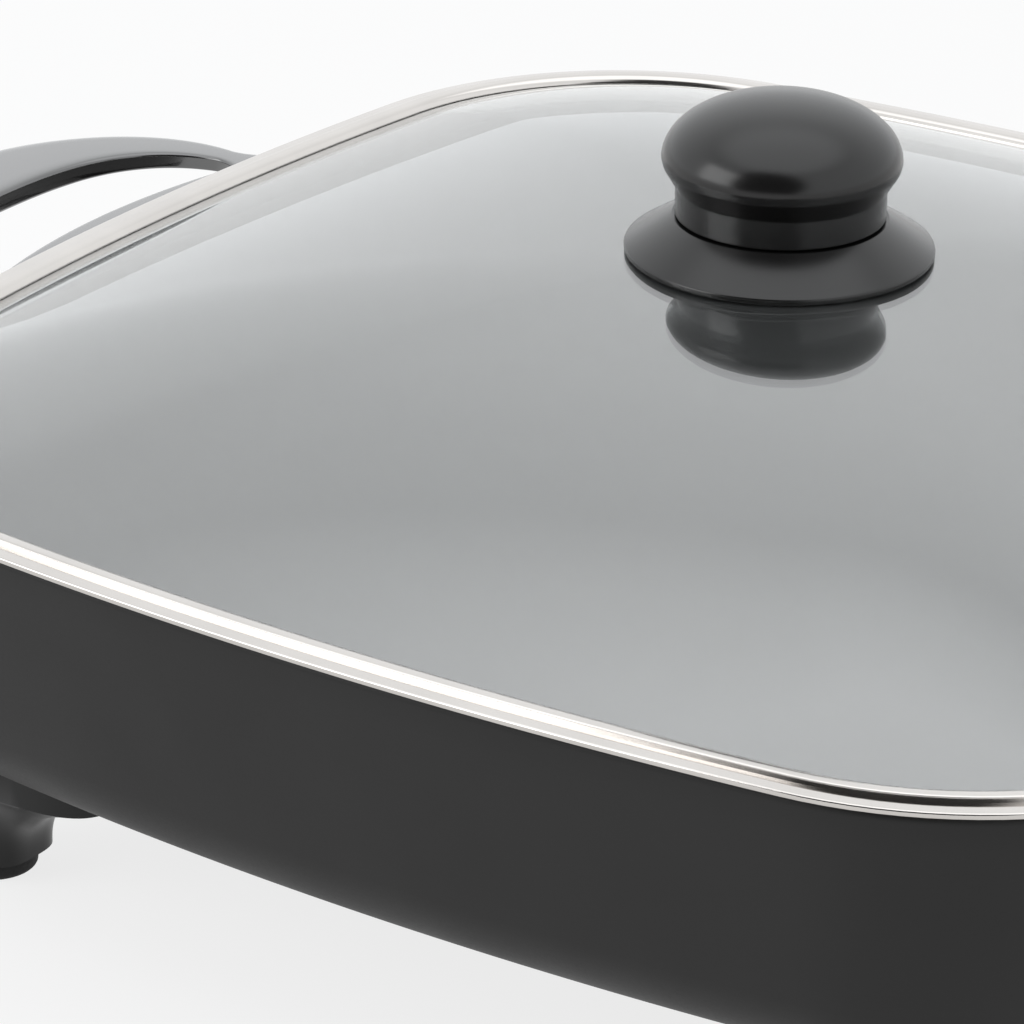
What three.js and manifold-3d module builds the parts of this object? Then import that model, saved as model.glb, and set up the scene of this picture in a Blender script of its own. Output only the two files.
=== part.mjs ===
import * as THREE from 'three';
import { mergeVertices } from 'three/addons/utils/BufferGeometryUtils.js';
import Module from 'manifold-3d';

const wasm = await Module();
wasm.setup();

// All lengths are in millimetres. +X points to the side with the thermostat control, +Z points up.

// Outline that the lid and the pan share
const LID_LENGTH = 310;
const LID_WIDTH = 300;
const CORNER_RADIUS = 68;
const SIDE_BOW = 16;

// Clearances and cuts
const SEAT_GAP = 0.3;
const RUNNING_GAP = 0.6;
const OVERRUN = 2;
const WELD = 0.0005;

// Pan, a die-cast aluminium shell
const PAN_BASE_HEIGHT = 30;
const PAN_DEPTH = 58;
const PAN_DRAFT_RUN = 12;
const PAN_WALL = 2.8;
const PAN_FLOOR = 4.6;
const PAN_OUTER_BEND = 20;
const PAN_INNER_BEND = 17;
const LID_OVERHANG = 1.6;

// Heating element and the ridge cast round it
const ELEMENT_RADIUS = 4;
const ELEMENT_DROP = 2;
const ELEMENT_END_CLEARANCE = 10;
const ELEMENT_SIDE_CLEARANCE = 1.5;
const ELEMENT_CORNER = 42;
const ELEMENT_TURN = 16;
const ELEMENT_TAIL = 6;
const RIDGE_WALL = 3;

// Terminals and the well for the sensing rod
const PIN_SPACING = 30;
const PIN_RADIUS = 3;
const PIN_REACH = 20;
const BUSH_RADIUS = 5.4;
const BUSH_LENGTH = 9;
const BUSH_COLLAR = 1.4;
const BUSH_COLLAR_LENGTH = 2.4;
const ROD_RADIUS = 3;
const ROD_WELL_DEPTH = 58;
const WELL_BOSS_WALL = 3.2;
const GUIDE_WALL = 1;
const GUIDE_LENGTH = 12;
const GUIDE_COLLAR = 0.8;

// Guard round the terminals, folded from sheet
const GUARD_SHEET = 1.2;
const GUARD_REACH = 30;
const GUARD_TAB = 7.6;
const GUARD_TAB_REACH = 26;
const GUARD_MOUTH_TILT = Math.PI / 6;

// Screws and the bosses that take them
const SCREW_RADIUS = 2;
const SCREW_HEAD_RADIUS = 3.8;
const SCREW_HEAD_HEIGHT = 2;
const BOSS_RADIUS = 4.6;
const BOSS_HEIGHT = 4;
const SCREW_CROWN_SHARE = 0.6;

// Handles: a bow, a web at the rim and two straps that reach under the pan
const HANDLE_DROP = 0.2;
const HANDLE_REACH = 50.5;
const HANDLE_ARM_SPACING = 85.6;
const HANDLE_CORNER = 31;
const HANDLE_BAR_BOW = 2.4;
const HANDLE_ARM_WIDTH = 6;
const HANDLE_ARM_THICKNESS = 3.2;
const HANDLE_ARM_FLARE = 4;
const HANDLE_BAR_WIDTH = 20;
const HANDLE_THICKNESS = 5;
const WEB_WIDTH = 95;
const WEB_HEIGHT = 15;
const WEB_EDGE = 1.4;
const WEB_PROUD = 0.8;
const WEB_CROWN = 5.6;
const STRAP_SPACING = 80;
const STRAP_WIDTH = 15;
const STRAP_THICKNESS = 6;
const STRAP_TAIL = 22;
const STRAP_SCREW_INSET = 9;

// Legs and their rubber feet
const LEG_END_INSET = 18;
const LEG_SIDE_INSET = 16;
const LEG_PAD_LENGTH = 46;
const LEG_PAD_WIDTH = 27;
const LEG_PAD_THICKNESS = 7.5;
const LEG_PAD_SHIFT = 10;
const LEG_FOOT_LENGTH = 21;
const LEG_FOOT_WIDTH = 18;
const LEG_BORE_RADIUS = 4.6;
const LEG_WEB = 2.2;
const FOOT_HEIGHT = 4;
const FOOT_RADIUS = 8.6;
const FOOT_PLUG_HEIGHT = 4;

// Lid glass
const GLASS_THICKNESS = 3.6;
const GLASS_RISE = 28;
const GLASS_EDGE_STEP = 0.5;
const GLASS_HOLE_RADIUS = 4.4;

// Steel band folded round the edge of the glass
const BAND_SHEET = 0.8;
const BAND_FLANGE_WIDTH = 3.9;
const BAND_FLANGE_HEIGHT = 1.3;
const BEAD_HEIGHT = 1.1;
const BEAD_OVERLAP = 0.6;
const BAND_LIP = 2.6;
const SKIRT_DEPTH = 5;

// Lid knob
const KNOB_SKIRT_RADIUS = 29;
const KNOB_SKIRT_HEIGHT = 6.2;
const KNOB_SKIRT_EDGE = 1.9;
const KNOB_SKIRT_UPRIGHT_SHARE = 0.7;
const KNOB_SKIRT_WALL = 2;
const KNOB_NECK_RADIUS = 19.7;
const KNOB_NECK_HEIGHT = 5.6;
const KNOB_HEAD_RADIUS = 22.4;
const KNOB_FLARE_HEIGHT = 5.2;
const KNOB_CROWN_HEIGHT = 13.3;
const KNOB_WALL = 2.6;
const KNOB_POST_RADIUS = 6;
const GASKET_RADIUS = 13;
const GASKET_THICKNESS = 1;
const WASHER_RADIUS = 8.5;
const WASHER_THICKNESS = 1;
const KNOB_SCREW_RADIUS = 2.5;
const KNOB_SCREW_LENGTH = 18;
const KNOB_SCREW_HEAD_RADIUS = 4.6;
const KNOB_SCREW_HEAD_HEIGHT = 3;

// Steam vent in the lid
const VENT_DISTANCE = 92;
const VENT_BORE_RADIUS = 2;
const VENT_WALL = 1;
const VENT_FLANGE = 2.6;
const VENT_FLANGE_THICKNESS = 0.9;

// Thermostat control housing
const CONTROL_LENGTH = 96;
const CONTROL_WIDTH = 58;
const CONTROL_HEIGHT = 28;
const CONTROL_WALL = 2.2;
const CONTROL_NOSE_GAP = 3;
const CONTROL_POST_RADIUS = 3.8;
const CONTROL_SCREW_RADIUS = 1.4;
const CONTROL_SCREW_HEAD_RADIUS = 2.7;
const CONTROL_SCREW_HEAD_HEIGHT = 1.8;
const CONTROL_SCREW_GRIP = 4;
const CONTROL_POST_SPACING = 38;
const CONTROL_POST_PLACE = 33;
const CONTROL_TAIL_POST_PLACE = 76;

// Works inside the control
const SOCKET_WALL = 1.2;
const SOCKET_LENGTH = 15;
const BLOCK_LENGTH = 12;
const BLOCK_WIDTH = 44;
const BLOCK_HEIGHT = 12;
const SHELF_LENGTH = 8;
const BLADE_LENGTH = 34;
const BLADE_WIDTH = 7;
const BLADE_THICKNESS = 0.8;
const BLADE_TRAVEL = 1.5;
const CONTACT_RADIUS = 2.4;
const CONTACT_HEIGHT = 1.4;
const LAMP_RADIUS = 2;
const LAMP_LENGTH = 9;
const LENS_RADIUS = 4;
const LENS_RISE = 1.6;
const LENS_FLANGE = 1.4;
const LENS_FLANGE_THICKNESS = 0.8;
const LENS_SHOULDER_SHARES = [0.7, 0.75];

// Dial on the control
const DIAL_PLACE = 44;
const DIAL_RADIUS = 22;
const DIAL_HEIGHT = 8;
const DIAL_GRIP_WIDTH = 8;
const DIAL_GRIP_HEIGHT = 5;
const DIAL_FLUTES = 16;
const DIAL_FLUTE_DEPTH = 0.8;
const DIAL_SEAT_HEIGHT = 1.6;
const DIAL_BORE_SHARE = 0.75;
const SHAFT_RADIUS = 3;
const SHAFT_FLAT = 0.8;

// Gland where the cord leaves the control
const GLAND_BORE_RADIUS = 3.2;
const GLAND_WALL = 1.6;
const GLAND_FLANGE = 1;
const GLAND_FLANGE_THICKNESS = 2;

// Steps of the faceted curves
const SIDE_STEPS = 3;
const CORNER_STEPS = 5;
const BEND_STEPS = 4;
const DOME_STEPS = 5;
const ROUND_STEPS = 20;
const FINE_ROUND_STEPS = 12;
const SMALL_ROUND_STEPS = 8;
const TUBE_STEPS = 4;
const PATH_STEPS = 36;
const FLUTE_STEPS = 3;
const HANDLE_STEPS = 6;

// Shape exponents: 2 is an ellipse, larger is squarer
const DOME_POWER = 2.2;
const CROWN_POWER = 1.64;
const BOW_POWER = 4;
const LEG_POWER = 3.4;
const HOUSING_POWER = 5;

// Geometry helpers

const DOWNWARD = 1.5 * Math.PI;

function bowRadius(halfChord, bow) {
  return (halfChord * halfChord + bow * bow) / (2 * bow);
}

function circlesMeet(first, firstRadius, second, secondRadius) {
  const across = second.clone().sub(first);
  const distance = across.length();
  const along = (firstRadius ** 2 - secondRadius ** 2 + distance ** 2) / (2 * distance);
  const aside = Math.sqrt(firstRadius ** 2 - along ** 2);
  const unit = across.divideScalar(distance);
  const base = first.clone().addScaledVector(unit, along);
  return base.addScaledVector(new THREE.Vector2(unit.y, -unit.x), aside);
}

function arcPoints(centre, radius, from, to, steps) {
  return Array.from({ length: steps + 1 }, (_, step) => {
    const angle = from + ((to - from) * step) / steps;
    return new THREE.Vector2(centre.x + radius * Math.cos(angle), centre.y + radius * Math.sin(angle));
  });
}

function newellNormal(ring) {
  const normal = new THREE.Vector3();
  ring.forEach((point, place) => {
    const next = ring[(place + 1) % ring.length];
    normal.add(point.clone().cross(next));
  });
  return normal.normalize();
}

function capFaces(ring, offset) {
  const normal = newellNormal(ring);
  const side = new THREE.Vector3(Math.abs(normal.x) < 0.5 ? 1 : 0, Math.abs(normal.x) < 0.5 ? 0 : 1, 0);
  const across = side.cross(normal).normalize();
  const along = normal.clone().cross(across);
  const flat = ring.map((point) => new THREE.Vector2(point.dot(across), point.dot(along)));
  return THREE.ShapeUtils.triangulateShape(flat, []).map((face) => face.map((corner) => corner + offset));
}

function signedVolume(positions, index) {
  let volume = 0;
  const corner = [new THREE.Vector3(), new THREE.Vector3(), new THREE.Vector3()];
  for (let face = 0; face < index.length; face += 3) {
    corner.forEach((point, k) => point.fromArray(positions, 3 * index[face + k]));
    volume += corner[0].dot(corner[1].clone().cross(corner[2]));
  }
  return volume;
}

// Joins rings of equal length into one closed solid, capped at both ends or closed on itself.
function loft(rings, closed = false) {
  const size = rings[0].length;
  const positions = rings.flat().flatMap((point) => [point.x, point.y, point.z]);
  const faces = [];
  const spans = closed ? rings.length : rings.length - 1;
  for (let span = 0; span < spans; span += 1) {
    const here = span * size;
    const there = ((span + 1) % rings.length) * size;
    for (let k = 0; k < size; k += 1) {
      const next = (k + 1) % size;
      faces.push([here + k, here + next, there + next]);
      faces.push([here + k, there + next, there + k]);
    }
  }
  if (!closed) {
    const last = (rings.length - 1) * size;
    faces.push(...capFaces(rings[0], 0).map((face) => face.reverse()));
    faces.push(...capFaces(rings[rings.length - 1], last));
  }
  const geometry = new THREE.BufferGeometry();
  geometry.setAttribute('position', new THREE.Float32BufferAttribute(positions, 3));
  const flat = faces.flat();
  geometry.setIndex(signedVolume(positions, flat) < 0 ? flat.reverse() : flat);
  return geometry;
}

function turned(profile, steps = SMALL_ROUND_STEPS) {
  const points = profile.map(([radius, height]) => new THREE.Vector2(radius, height));
  return new THREE.LatheGeometry(points, steps).rotateX(Math.PI / 2);
}

function turnedAlongX(profile, steps = SMALL_ROUND_STEPS) {
  return turned(profile, steps).rotateY(Math.PI / 2);
}

function cylinder(radius, low, high, steps = SMALL_ROUND_STEPS) {
  return turned([[0, low], [radius, low], [radius, high], [0, high]], steps);
}

function ringProfile(inner, outer, low, high) {
  return [[inner, low], [outer, low], [outer, high], [inner, high], [inner, low]];
}

function block(low, high) {
  const size = high.map((value, axis) => value - low[axis]);
  const middle = high.map((value, axis) => (value + low[axis]) / 2);
  return new THREE.BoxGeometry(...size).translate(...middle);
}

// A block and its mirror image across the X axis
function blockPair(low, high) {
  return [block(low, high), block([low[0], -high[1], low[2]], [high[0], -low[1], high[2]])];
}

// Rounded rectangle as one ring of points, with sides that swell a little
function roundedRing(halfWidth, halfHeight, power, steps) {
  return Array.from({ length: steps }, (_, step) => {
    const angle = (2 * Math.PI * step) / steps;
    const across = Math.sign(Math.cos(angle)) * Math.abs(Math.cos(angle)) ** (2 / power);
    const up = Math.sign(Math.sin(angle)) * Math.abs(Math.sin(angle)) ** (2 / power);
    return new THREE.Vector2(halfWidth * across, halfHeight * up);
  });
}

// Solids and booleans

function solid(geometry) {
  const bare = new THREE.BufferGeometry();
  bare.setAttribute('position', geometry.getAttribute('position').clone());
  bare.setIndex(geometry.index);
  const welded = mergeVertices(bare, WELD);
  const index = welded.index.array;
  const kept = [];
  for (let face = 0; face < index.length; face += 3) {
    const [a, b, c] = index.slice(face, face + 3);
    if (a !== b && b !== c && c !== a) kept.push(a, b, c);
  }
  return new wasm.Manifold(new wasm.Mesh({
    numProp: 3,
    vertProperties: new Float32Array(welded.getAttribute('position').array),
    triVerts: new Uint32Array(kept),
  }));
}

function joined(...geometries) {
  return geometries.map(solid).reduce((whole, next) => whole.add(next));
}

function without(whole, ...geometries) {
  return geometries.map(solid).reduce((rest, cut) => rest.subtract(cut), whole);
}

function meshGeometry(manifold) {
  const mesh = manifold.getMesh();
  const geometry = new THREE.BufferGeometry();
  geometry.setAttribute('position', new THREE.BufferAttribute(mesh.vertProperties, 3));
  geometry.setIndex(new THREE.BufferAttribute(mesh.triVerts, 1));
  geometry.computeVertexNormals();
  return geometry;
}

// Finishes

const FINISHES = {
  nonstick: { color: 0x3a3a39, roughness: 0.62, metalness: 0.1 },
  phenolic: { color: 0x1c1c1d, roughness: 0.3, metalness: 0 },
  satinPhenolic: { color: 0x2e2d2d, roughness: 0.42, metalness: 0 },
  glass: { color: 0xc9d2d2, roughness: 0.05, metalness: 0, transparent: true, opacity: 0.35 },
  polishedSteel: { color: 0xdcd8d2, roughness: 0.18, metalness: 1 },
  plainSteel: { color: 0xb4b6b8, roughness: 0.35, metalness: 1 },
  sheath: { color: 0x6f6c68, roughness: 0.5, metalness: 1 },
  brass: { color: 0xc8a24e, roughness: 0.3, metalness: 1 },
  ceramic: { color: 0xe6e0d2, roughness: 0.6, metalness: 0 },
  rubber: { color: 0x202020, roughness: 0.85, metalness: 0 },
  silicone: { color: 0x8d8f90, roughness: 0.7, metalness: 0 },
  housing: { color: 0x19191a, roughness: 0.45, metalness: 0 },
  amber: { color: 0xc8441c, roughness: 0.15, metalness: 0 },
  lampGlass: { color: 0xe8d6c0, roughness: 0.1, metalness: 0 },
};

function piece(name, shape, finish) {
  const geometry = shape.isBufferGeometry ? shape : meshGeometry(shape);
  const mesh = new THREE.Mesh(geometry, new THREE.MeshStandardMaterial(FINISHES[finish]));
  mesh.name = name;
  return mesh;
}

// Outline

const HALF_LENGTH = LID_LENGTH / 2;
const HALF_WIDTH = LID_WIDTH / 2;
const LONG_SIDE_RADIUS = bowRadius(HALF_LENGTH, SIDE_BOW);
const SHORT_SIDE_RADIUS = bowRadius(HALF_WIDTH, SIDE_BOW);
const LONG_SIDE_CENTRE = new THREE.Vector2(0, HALF_WIDTH - LONG_SIDE_RADIUS);
const SHORT_SIDE_CENTRE = new THREE.Vector2(HALF_LENGTH - SHORT_SIDE_RADIUS, 0);
const CORNER_CENTRE = circlesMeet(
  LONG_SIDE_CENTRE,
  LONG_SIDE_RADIUS - CORNER_RADIUS,
  SHORT_SIDE_CENTRE,
  SHORT_SIDE_RADIUS - CORNER_RADIUS,
);

function quadrant(inset) {
  const leave = CORNER_CENTRE.clone().sub(SHORT_SIDE_CENTRE).angle();
  const arrive = CORNER_CENTRE.clone().sub(LONG_SIDE_CENTRE).angle();
  return [
    ...arcPoints(SHORT_SIDE_CENTRE, SHORT_SIDE_RADIUS - inset, 0, leave, SIDE_STEPS).slice(0, -1),
    ...arcPoints(CORNER_CENTRE, CORNER_RADIUS - inset, leave, arrive, CORNER_STEPS).slice(0, -1),
    ...arcPoints(LONG_SIDE_CENTRE, LONG_SIDE_RADIUS - inset, arrive, Math.PI / 2, SIDE_STEPS),
  ];
}

// The outline moved inward by an inset, at one height
function outlineRing(inset, height) {
  const first = quadrant(inset);
  const flip = (x, y) => first.map((point) => new THREE.Vector3(point.x * x, point.y * y, height));
  const quarters = [flip(1, 1), flip(-1, 1).reverse(), flip(-1, -1), flip(1, -1).reverse()];
  return quarters.flatMap((quarter) => quarter.slice(0, -1));
}

// How far out the short side lies at a distance from the middle of that side
function sideReach(inset, across) {
  return SHORT_SIDE_CENTRE.x + Math.sqrt((SHORT_SIDE_RADIUS - inset) ** 2 - across ** 2);
}

// Pan

const RIM_HEIGHT = PAN_BASE_HEIGHT + PAN_DEPTH;
const DRAFT = Math.atan(PAN_DRAFT_RUN / PAN_DEPTH);
const PAN_CORNER_INSET = LID_OVERHANG + PAN_DRAFT_RUN;

function wallInset(height) {
  return PAN_CORNER_INSET - (height - PAN_BASE_HEIGHT) * Math.tan(DRAFT);
}

// Bend between floor and wall, as insets and heights, from the floor to the wall
function bend(floorHeight, wallOffset, radius) {
  const height = floorHeight + radius;
  const inset = wallInset(height) + wallOffset + radius / Math.cos(DRAFT);
  return arcPoints(new THREE.Vector2(inset, height), radius, DOWNWARD, Math.PI + DRAFT, BEND_STEPS);
}

function panProfile() {
  const wall = PAN_WALL / Math.cos(DRAFT);
  const rimRadius = PAN_WALL / 2;
  const rimCentre = new THREE.Vector2(wallInset(RIM_HEIGHT - rimRadius) + wall / 2, RIM_HEIGHT - rimRadius);
  return [
    ...bend(PAN_BASE_HEIGHT, 0, PAN_OUTER_BEND),
    ...arcPoints(rimCentre, rimRadius, Math.PI + DRAFT, DRAFT, BEND_STEPS),
    ...bend(PAN_BASE_HEIGHT + PAN_FLOOR, wall, PAN_INNER_BEND).reverse(),
  ];
}

const ELEMENT_HEIGHT = PAN_BASE_HEIGHT - ELEMENT_DROP - ELEMENT_RADIUS;
const BASE_INSET = bend(PAN_BASE_HEIGHT, 0, PAN_OUTER_BEND)[0].x;
const BASE_EDGE = HALF_LENGTH - BASE_INSET;
const LEG_X = BASE_EDGE - LEG_END_INSET;
const LEG_Y = HALF_WIDTH - BASE_INSET - LEG_SIDE_INSET;
const ELEMENT_END = BASE_EDGE + ELEMENT_TAIL;
const RIDGE_HALF_WIDTH = ELEMENT_RADIUS + RIDGE_WALL;
const ELEMENT_HALF_LENGTH = BASE_EDGE - STRAP_TAIL - ELEMENT_END_CLEARANCE - RIDGE_HALF_WIDTH;
const ELEMENT_HALF_WIDTH = LEG_Y - LEG_PAD_WIDTH / 2 - ELEMENT_SIDE_CLEARANCE - RIDGE_HALF_WIDTH;

// Half of the element's route, from a terminal to the middle of the far side
function elementHalf() {
  const length = ELEMENT_HALF_LENGTH;
  const width = ELEMENT_HALF_WIDTH;
  const lead = PIN_SPACING / 2;
  const turn = new THREE.Vector2(length + ELEMENT_TURN, lead + ELEMENT_TURN);
  const near = new THREE.Vector2(length - ELEMENT_CORNER, width - ELEMENT_CORNER);
  const far = new THREE.Vector2(ELEMENT_CORNER - length, width - ELEMENT_CORNER);
  return [
    new THREE.Vector2(ELEMENT_END, lead),
    new THREE.Vector2((ELEMENT_END + turn.x) / 2, lead),
    ...arcPoints(turn, ELEMENT_TURN, DOWNWARD, Math.PI, BEND_STEPS),
    ...arcPoints(near, ELEMENT_CORNER, 0, Math.PI / 2, BEND_STEPS),
    new THREE.Vector2(0, width),
    ...arcPoints(far, ELEMENT_CORNER, Math.PI / 2, Math.PI, BEND_STEPS),
    new THREE.Vector2(-length, 0),
  ];
}

function elementRoute() {
  const half = elementHalf();
  return [...half, ...half.slice(0, -1).reverse().map((point) => new THREE.Vector2(point.x, -point.y))];
}

function elementTube(radius) {
  const route = elementRoute().map((point) => new THREE.Vector3(point.x, point.y, ELEMENT_HEIGHT));
  const extrudePath = new THREE.CatmullRomCurve3(route, false, 'centripetal');
  const section = new THREE.Shape().absarc(0, 0, radius, 0, 2 * Math.PI);
  return new THREE.ExtrudeGeometry(section, {
    steps: PATH_STEPS,
    curveSegments: TUBE_STEPS,
    bevelEnabled: false,
    extrudePath,
  });
}

// Sweeps a section along stations of x and y; sectionAt gives the points across and up at a station
function sweep(stations, sectionAt) {
  return loft(stations.map((station, place) => {
    const [x, y] = station;
    const before = stations[Math.max(place - 1, 0)];
    const after = stations[Math.min(place + 1, stations.length - 1)];
    const ahead = new THREE.Vector2(after[0] - before[0], after[1] - before[1]).normalize();
    return sectionAt(station).map((point) => (
      new THREE.Vector3(x - ahead.y * point.x, y + ahead.x * point.x, point.y)
    ));
  }));
}

function elementRidge() {
  const half = RIDGE_HALF_WIDTH;
  const high = PAN_BASE_HEIGHT + PAN_FLOOR / 2;
  const low = arcPoints(new THREE.Vector2(0, ELEMENT_HEIGHT), half, -Math.PI, 0, BEND_STEPS);
  const section = [new THREE.Vector2(-half, high), ...low, new THREE.Vector2(half, high)];
  const near = block([0, -PIN_SPACING, 0], [BASE_EDGE - RIDGE_WALL, PIN_SPACING, RIM_HEIGHT]);
  const far = block([-LID_LENGTH, -LID_WIDTH, 0], [ELEMENT_HALF_LENGTH + half, LID_WIDTH, RIM_HEIGHT]);
  const stations = elementRoute().map(({ x, y }) => [x, y]);
  return solid(sweep(stations, () => section)).intersect(joined(near, far));
}

const WELL_BOSS_RADIUS = ROD_RADIUS + RUNNING_GAP + GUIDE_WALL + WELL_BOSS_WALL;
const WELL_END = BASE_EDGE - ROD_WELL_DEPTH;

function rodAxis(geometry) {
  return geometry.translate(0, 0, ELEMENT_HEIGHT);
}

// Straight bore along X, level with the sensing rod
function levelBore(radius, from, to, y = 0, steps = SMALL_ROUND_STEPS) {
  return rodAxis(turnedAlongX([[0, from], [radius, from], [radius, to], [0, to]], steps)).translate(0, y, 0);
}

function wellBoss() {
  const high = BASE_EDGE - WELL_BOSS_WALL;
  const low = WELL_END - WELL_BOSS_WALL;
  const boss = turnedAlongX([[0, low], [WELL_BOSS_RADIUS, low], [WELL_BOSS_RADIUS, high], [0, high]]);
  const limit = block(
    [low, -WELL_BOSS_RADIUS, PAN_BASE_HEIGHT - 2 * WELL_BOSS_RADIUS],
    [high, WELL_BOSS_RADIUS, PAN_BASE_HEIGHT + PAN_FLOOR / 2],
  );
  return solid(rodAxis(boss)).intersect(solid(limit));
}

function wellBore() {
  const mouth = BASE_EDGE + OVERRUN;
  const guideEnd = BASE_EDGE - WELL_BOSS_WALL - GUIDE_LENGTH - SEAT_GAP;
  const narrow = ROD_RADIUS + RUNNING_GAP;
  const wide = narrow + GUIDE_WALL + SEAT_GAP;
  return rodAxis(turnedAlongX([
    [0, WELL_END], [narrow, WELL_END], [narrow, guideEnd], [wide, guideEnd], [wide, mouth], [0, mouth],
  ]));
}

function guideSleeve() {
  const inner = ROD_RADIUS + RUNNING_GAP;
  const outer = inner + GUIDE_WALL;
  const mouth = BASE_EDGE - WELL_BOSS_WALL + SEAT_GAP;
  const low = mouth - SEAT_GAP - GUIDE_LENGTH;
  const collar = outer + GUIDE_COLLAR;
  return rodAxis(turnedAlongX([
    [inner, low], [outer, low], [outer, mouth], [collar, mouth],
    [collar, mouth + GUIDE_WALL], [inner, mouth + GUIDE_WALL], [inner, low],
  ]));
}

function legPlaces() {
  return {
    left_front: [-LEG_X, -LEG_Y],
    left_rear: [-LEG_X, LEG_Y],
    right_front: [LEG_X, -LEG_Y],
    right_rear: [LEG_X, LEG_Y],
  };
}

const STRAP_SCREW_REACH = BASE_EDGE - STRAP_SCREW_INSET;

function strapScrewPlaces(side) {
  const y = STRAP_SPACING / 2;
  return [[side * STRAP_SCREW_REACH, -y], [side * STRAP_SCREW_REACH, y]];
}

function guardScrewPlaces() {
  const x = BASE_EDGE - GUARD_TAB_REACH + GUARD_TAB / 2;
  const y = GUARD_HALF_WIDTH - GUARD_TAB / 2;
  return [[x, -y], [x, y]];
}

function bossAt(height, radius, [x, y]) {
  return cylinder(radius, PAN_BASE_HEIGHT - height, PAN_BASE_HEIGHT + PAN_FLOOR / 2).translate(x, y, 0);
}

function screwHoleAt([x, y]) {
  const top = PAN_BASE_HEIGHT + PAN_FLOOR / 2;
  return cylinder(SCREW_RADIUS + SEAT_GAP, 0, top).translate(x, y, 0);
}

function makePan() {
  const tall = [...Object.values(legPlaces()), ...strapScrewPlaces(1), ...strapScrewPlaces(-1)];
  const flush = guardScrewPlaces();
  const shell = loft(panProfile().map((point) => outlineRing(point.x, point.y)));
  let body = joined(shell, ...tall.map((place) => bossAt(BOSS_HEIGHT, BOSS_RADIUS, place)));
  body = body.add(elementRidge()).add(wellBoss());
  const channel = elementTube(ELEMENT_RADIUS + SEAT_GAP);
  body = without(body, channel, wellBore(), ...[...tall, ...flush].map(screwHoleAt));
  return piece('pan', body, 'nonstick');
}

function makeElement() {
  return piece('heating_element', elementTube(ELEMENT_RADIUS), 'sheath');
}

function makeGuideSleeve() {
  return piece('probe_guide', guideSleeve(), 'plainSteel');
}

// Terminals

const BUSH_START = ELEMENT_END + SEAT_GAP;
const PIN_TIP = BUSH_START + BUSH_LENGTH + PIN_REACH;

function makeTerminals() {
  const hole = PIN_RADIUS + SEAT_GAP;
  const start = BUSH_START;
  const collarEnd = start + BUSH_COLLAR_LENGTH;
  const end = start + BUSH_LENGTH;
  const bush = [
    [hole, start], [BUSH_RADIUS + BUSH_COLLAR, start], [BUSH_RADIUS + BUSH_COLLAR, collarEnd],
    [BUSH_RADIUS, collarEnd], [BUSH_RADIUS, end], [hole, end], [hole, start],
  ];
  const shoulder = PIN_TIP - PIN_RADIUS;
  const pin = [
    [0, start], [PIN_RADIUS, start], [PIN_RADIUS, shoulder], [PIN_RADIUS / 2, PIN_TIP], [0, PIN_TIP],
  ];
  return [['front', -1], ['rear', 1]].flatMap(([place, side]) => {
    const set = (geometry) => rodAxis(geometry).translate(0, (side * PIN_SPACING) / 2, 0);
    return [
      piece(`terminal_bush_${place}`, set(turnedAlongX(bush)), 'ceramic'),
      piece(`terminal_pin_${place}`, set(turnedAlongX(pin)), 'plainSteel'),
    ];
  });
}

// Guard

const NOSE_FRONT = HALF_LENGTH - wallInset(ELEMENT_HEIGHT + CONTROL_HEIGHT / 2) + CONTROL_NOSE_GAP;
const GUARD_HALF_WIDTH = CONTROL_WIDTH / 2 + RUNNING_GAP + GUARD_SHEET;
const GUARD_BACK = BUSH_START + BUSH_COLLAR_LENGTH + SEAT_GAP;
const GUARD_LOW = ELEMENT_HEIGHT - CONTROL_HEIGHT / 2 - RUNNING_GAP - GUARD_SHEET;
const GUARD_END = GUARD_BACK + GUARD_REACH;

function makeGuard() {
  const top = PAN_BASE_HEIGHT - SEAT_GAP;
  const outer = block(
    [GUARD_BACK, -GUARD_HALF_WIDTH, GUARD_LOW],
    [GUARD_END, GUARD_HALF_WIDTH, ELEMENT_HEIGHT + CONTROL_HEIGHT / 2],
  );
  const inside = block(
    [GUARD_BACK + GUARD_SHEET, GUARD_SHEET - GUARD_HALF_WIDTH, GUARD_LOW + GUARD_SHEET],
    [GUARD_END + OVERRUN, GUARD_HALF_WIDTH - GUARD_SHEET, RIM_HEIGHT],
  );
  const overBack = block(
    [GUARD_BACK - OVERRUN, -HALF_WIDTH, top],
    [NOSE_FRONT, HALF_WIDTH, RIM_HEIGHT],
  );
  const mouthSlope = block([0, -HALF_WIDTH, 0], [GUARD_REACH, HALF_WIDTH, CONTROL_HEIGHT])
    .rotateY(-GUARD_MOUTH_TILT)
    .translate(GUARD_END - GUARD_REACH / 4, 0, ELEMENT_HEIGHT + CONTROL_HEIGHT / 4);
  const tabs = blockPair(
    [BASE_EDGE - GUARD_TAB_REACH, GUARD_HALF_WIDTH - GUARD_TAB, top - GUARD_SHEET],
    [GUARD_BACK + GUARD_SHEET, GUARD_HALF_WIDTH, top],
  );
  const clear = BUSH_RADIUS + SEAT_GAP;
  const through = (radius, y) => levelBore(radius, GUARD_BACK - OVERRUN, GUARD_BACK + OVERRUN, y);
  let body = without(solid(outer), inside, overBack, mouthSlope);
  body = without(
    body.add(joined(...tabs)),
    through(clear, PIN_SPACING / 2),
    through(clear, -PIN_SPACING / 2),
    through(ROD_RADIUS + 2 * RUNNING_GAP, 0),
    ...guardScrewPlaces().map(screwHoleAt),
  );
  return piece('terminal_guard', body, 'plainSteel');
}

// Handles

const HANDLE_TOP = RIM_HEIGHT - HANDLE_DROP;
const WEB_LOW = HANDLE_TOP - WEB_HEIGHT;

function webReach(across) {
  const crown = WEB_CROWN * (1 - (across / (WEB_WIDTH / 2)) ** 2);
  return sideReach(0, across) + WEB_PROUD + crown;
}

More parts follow.
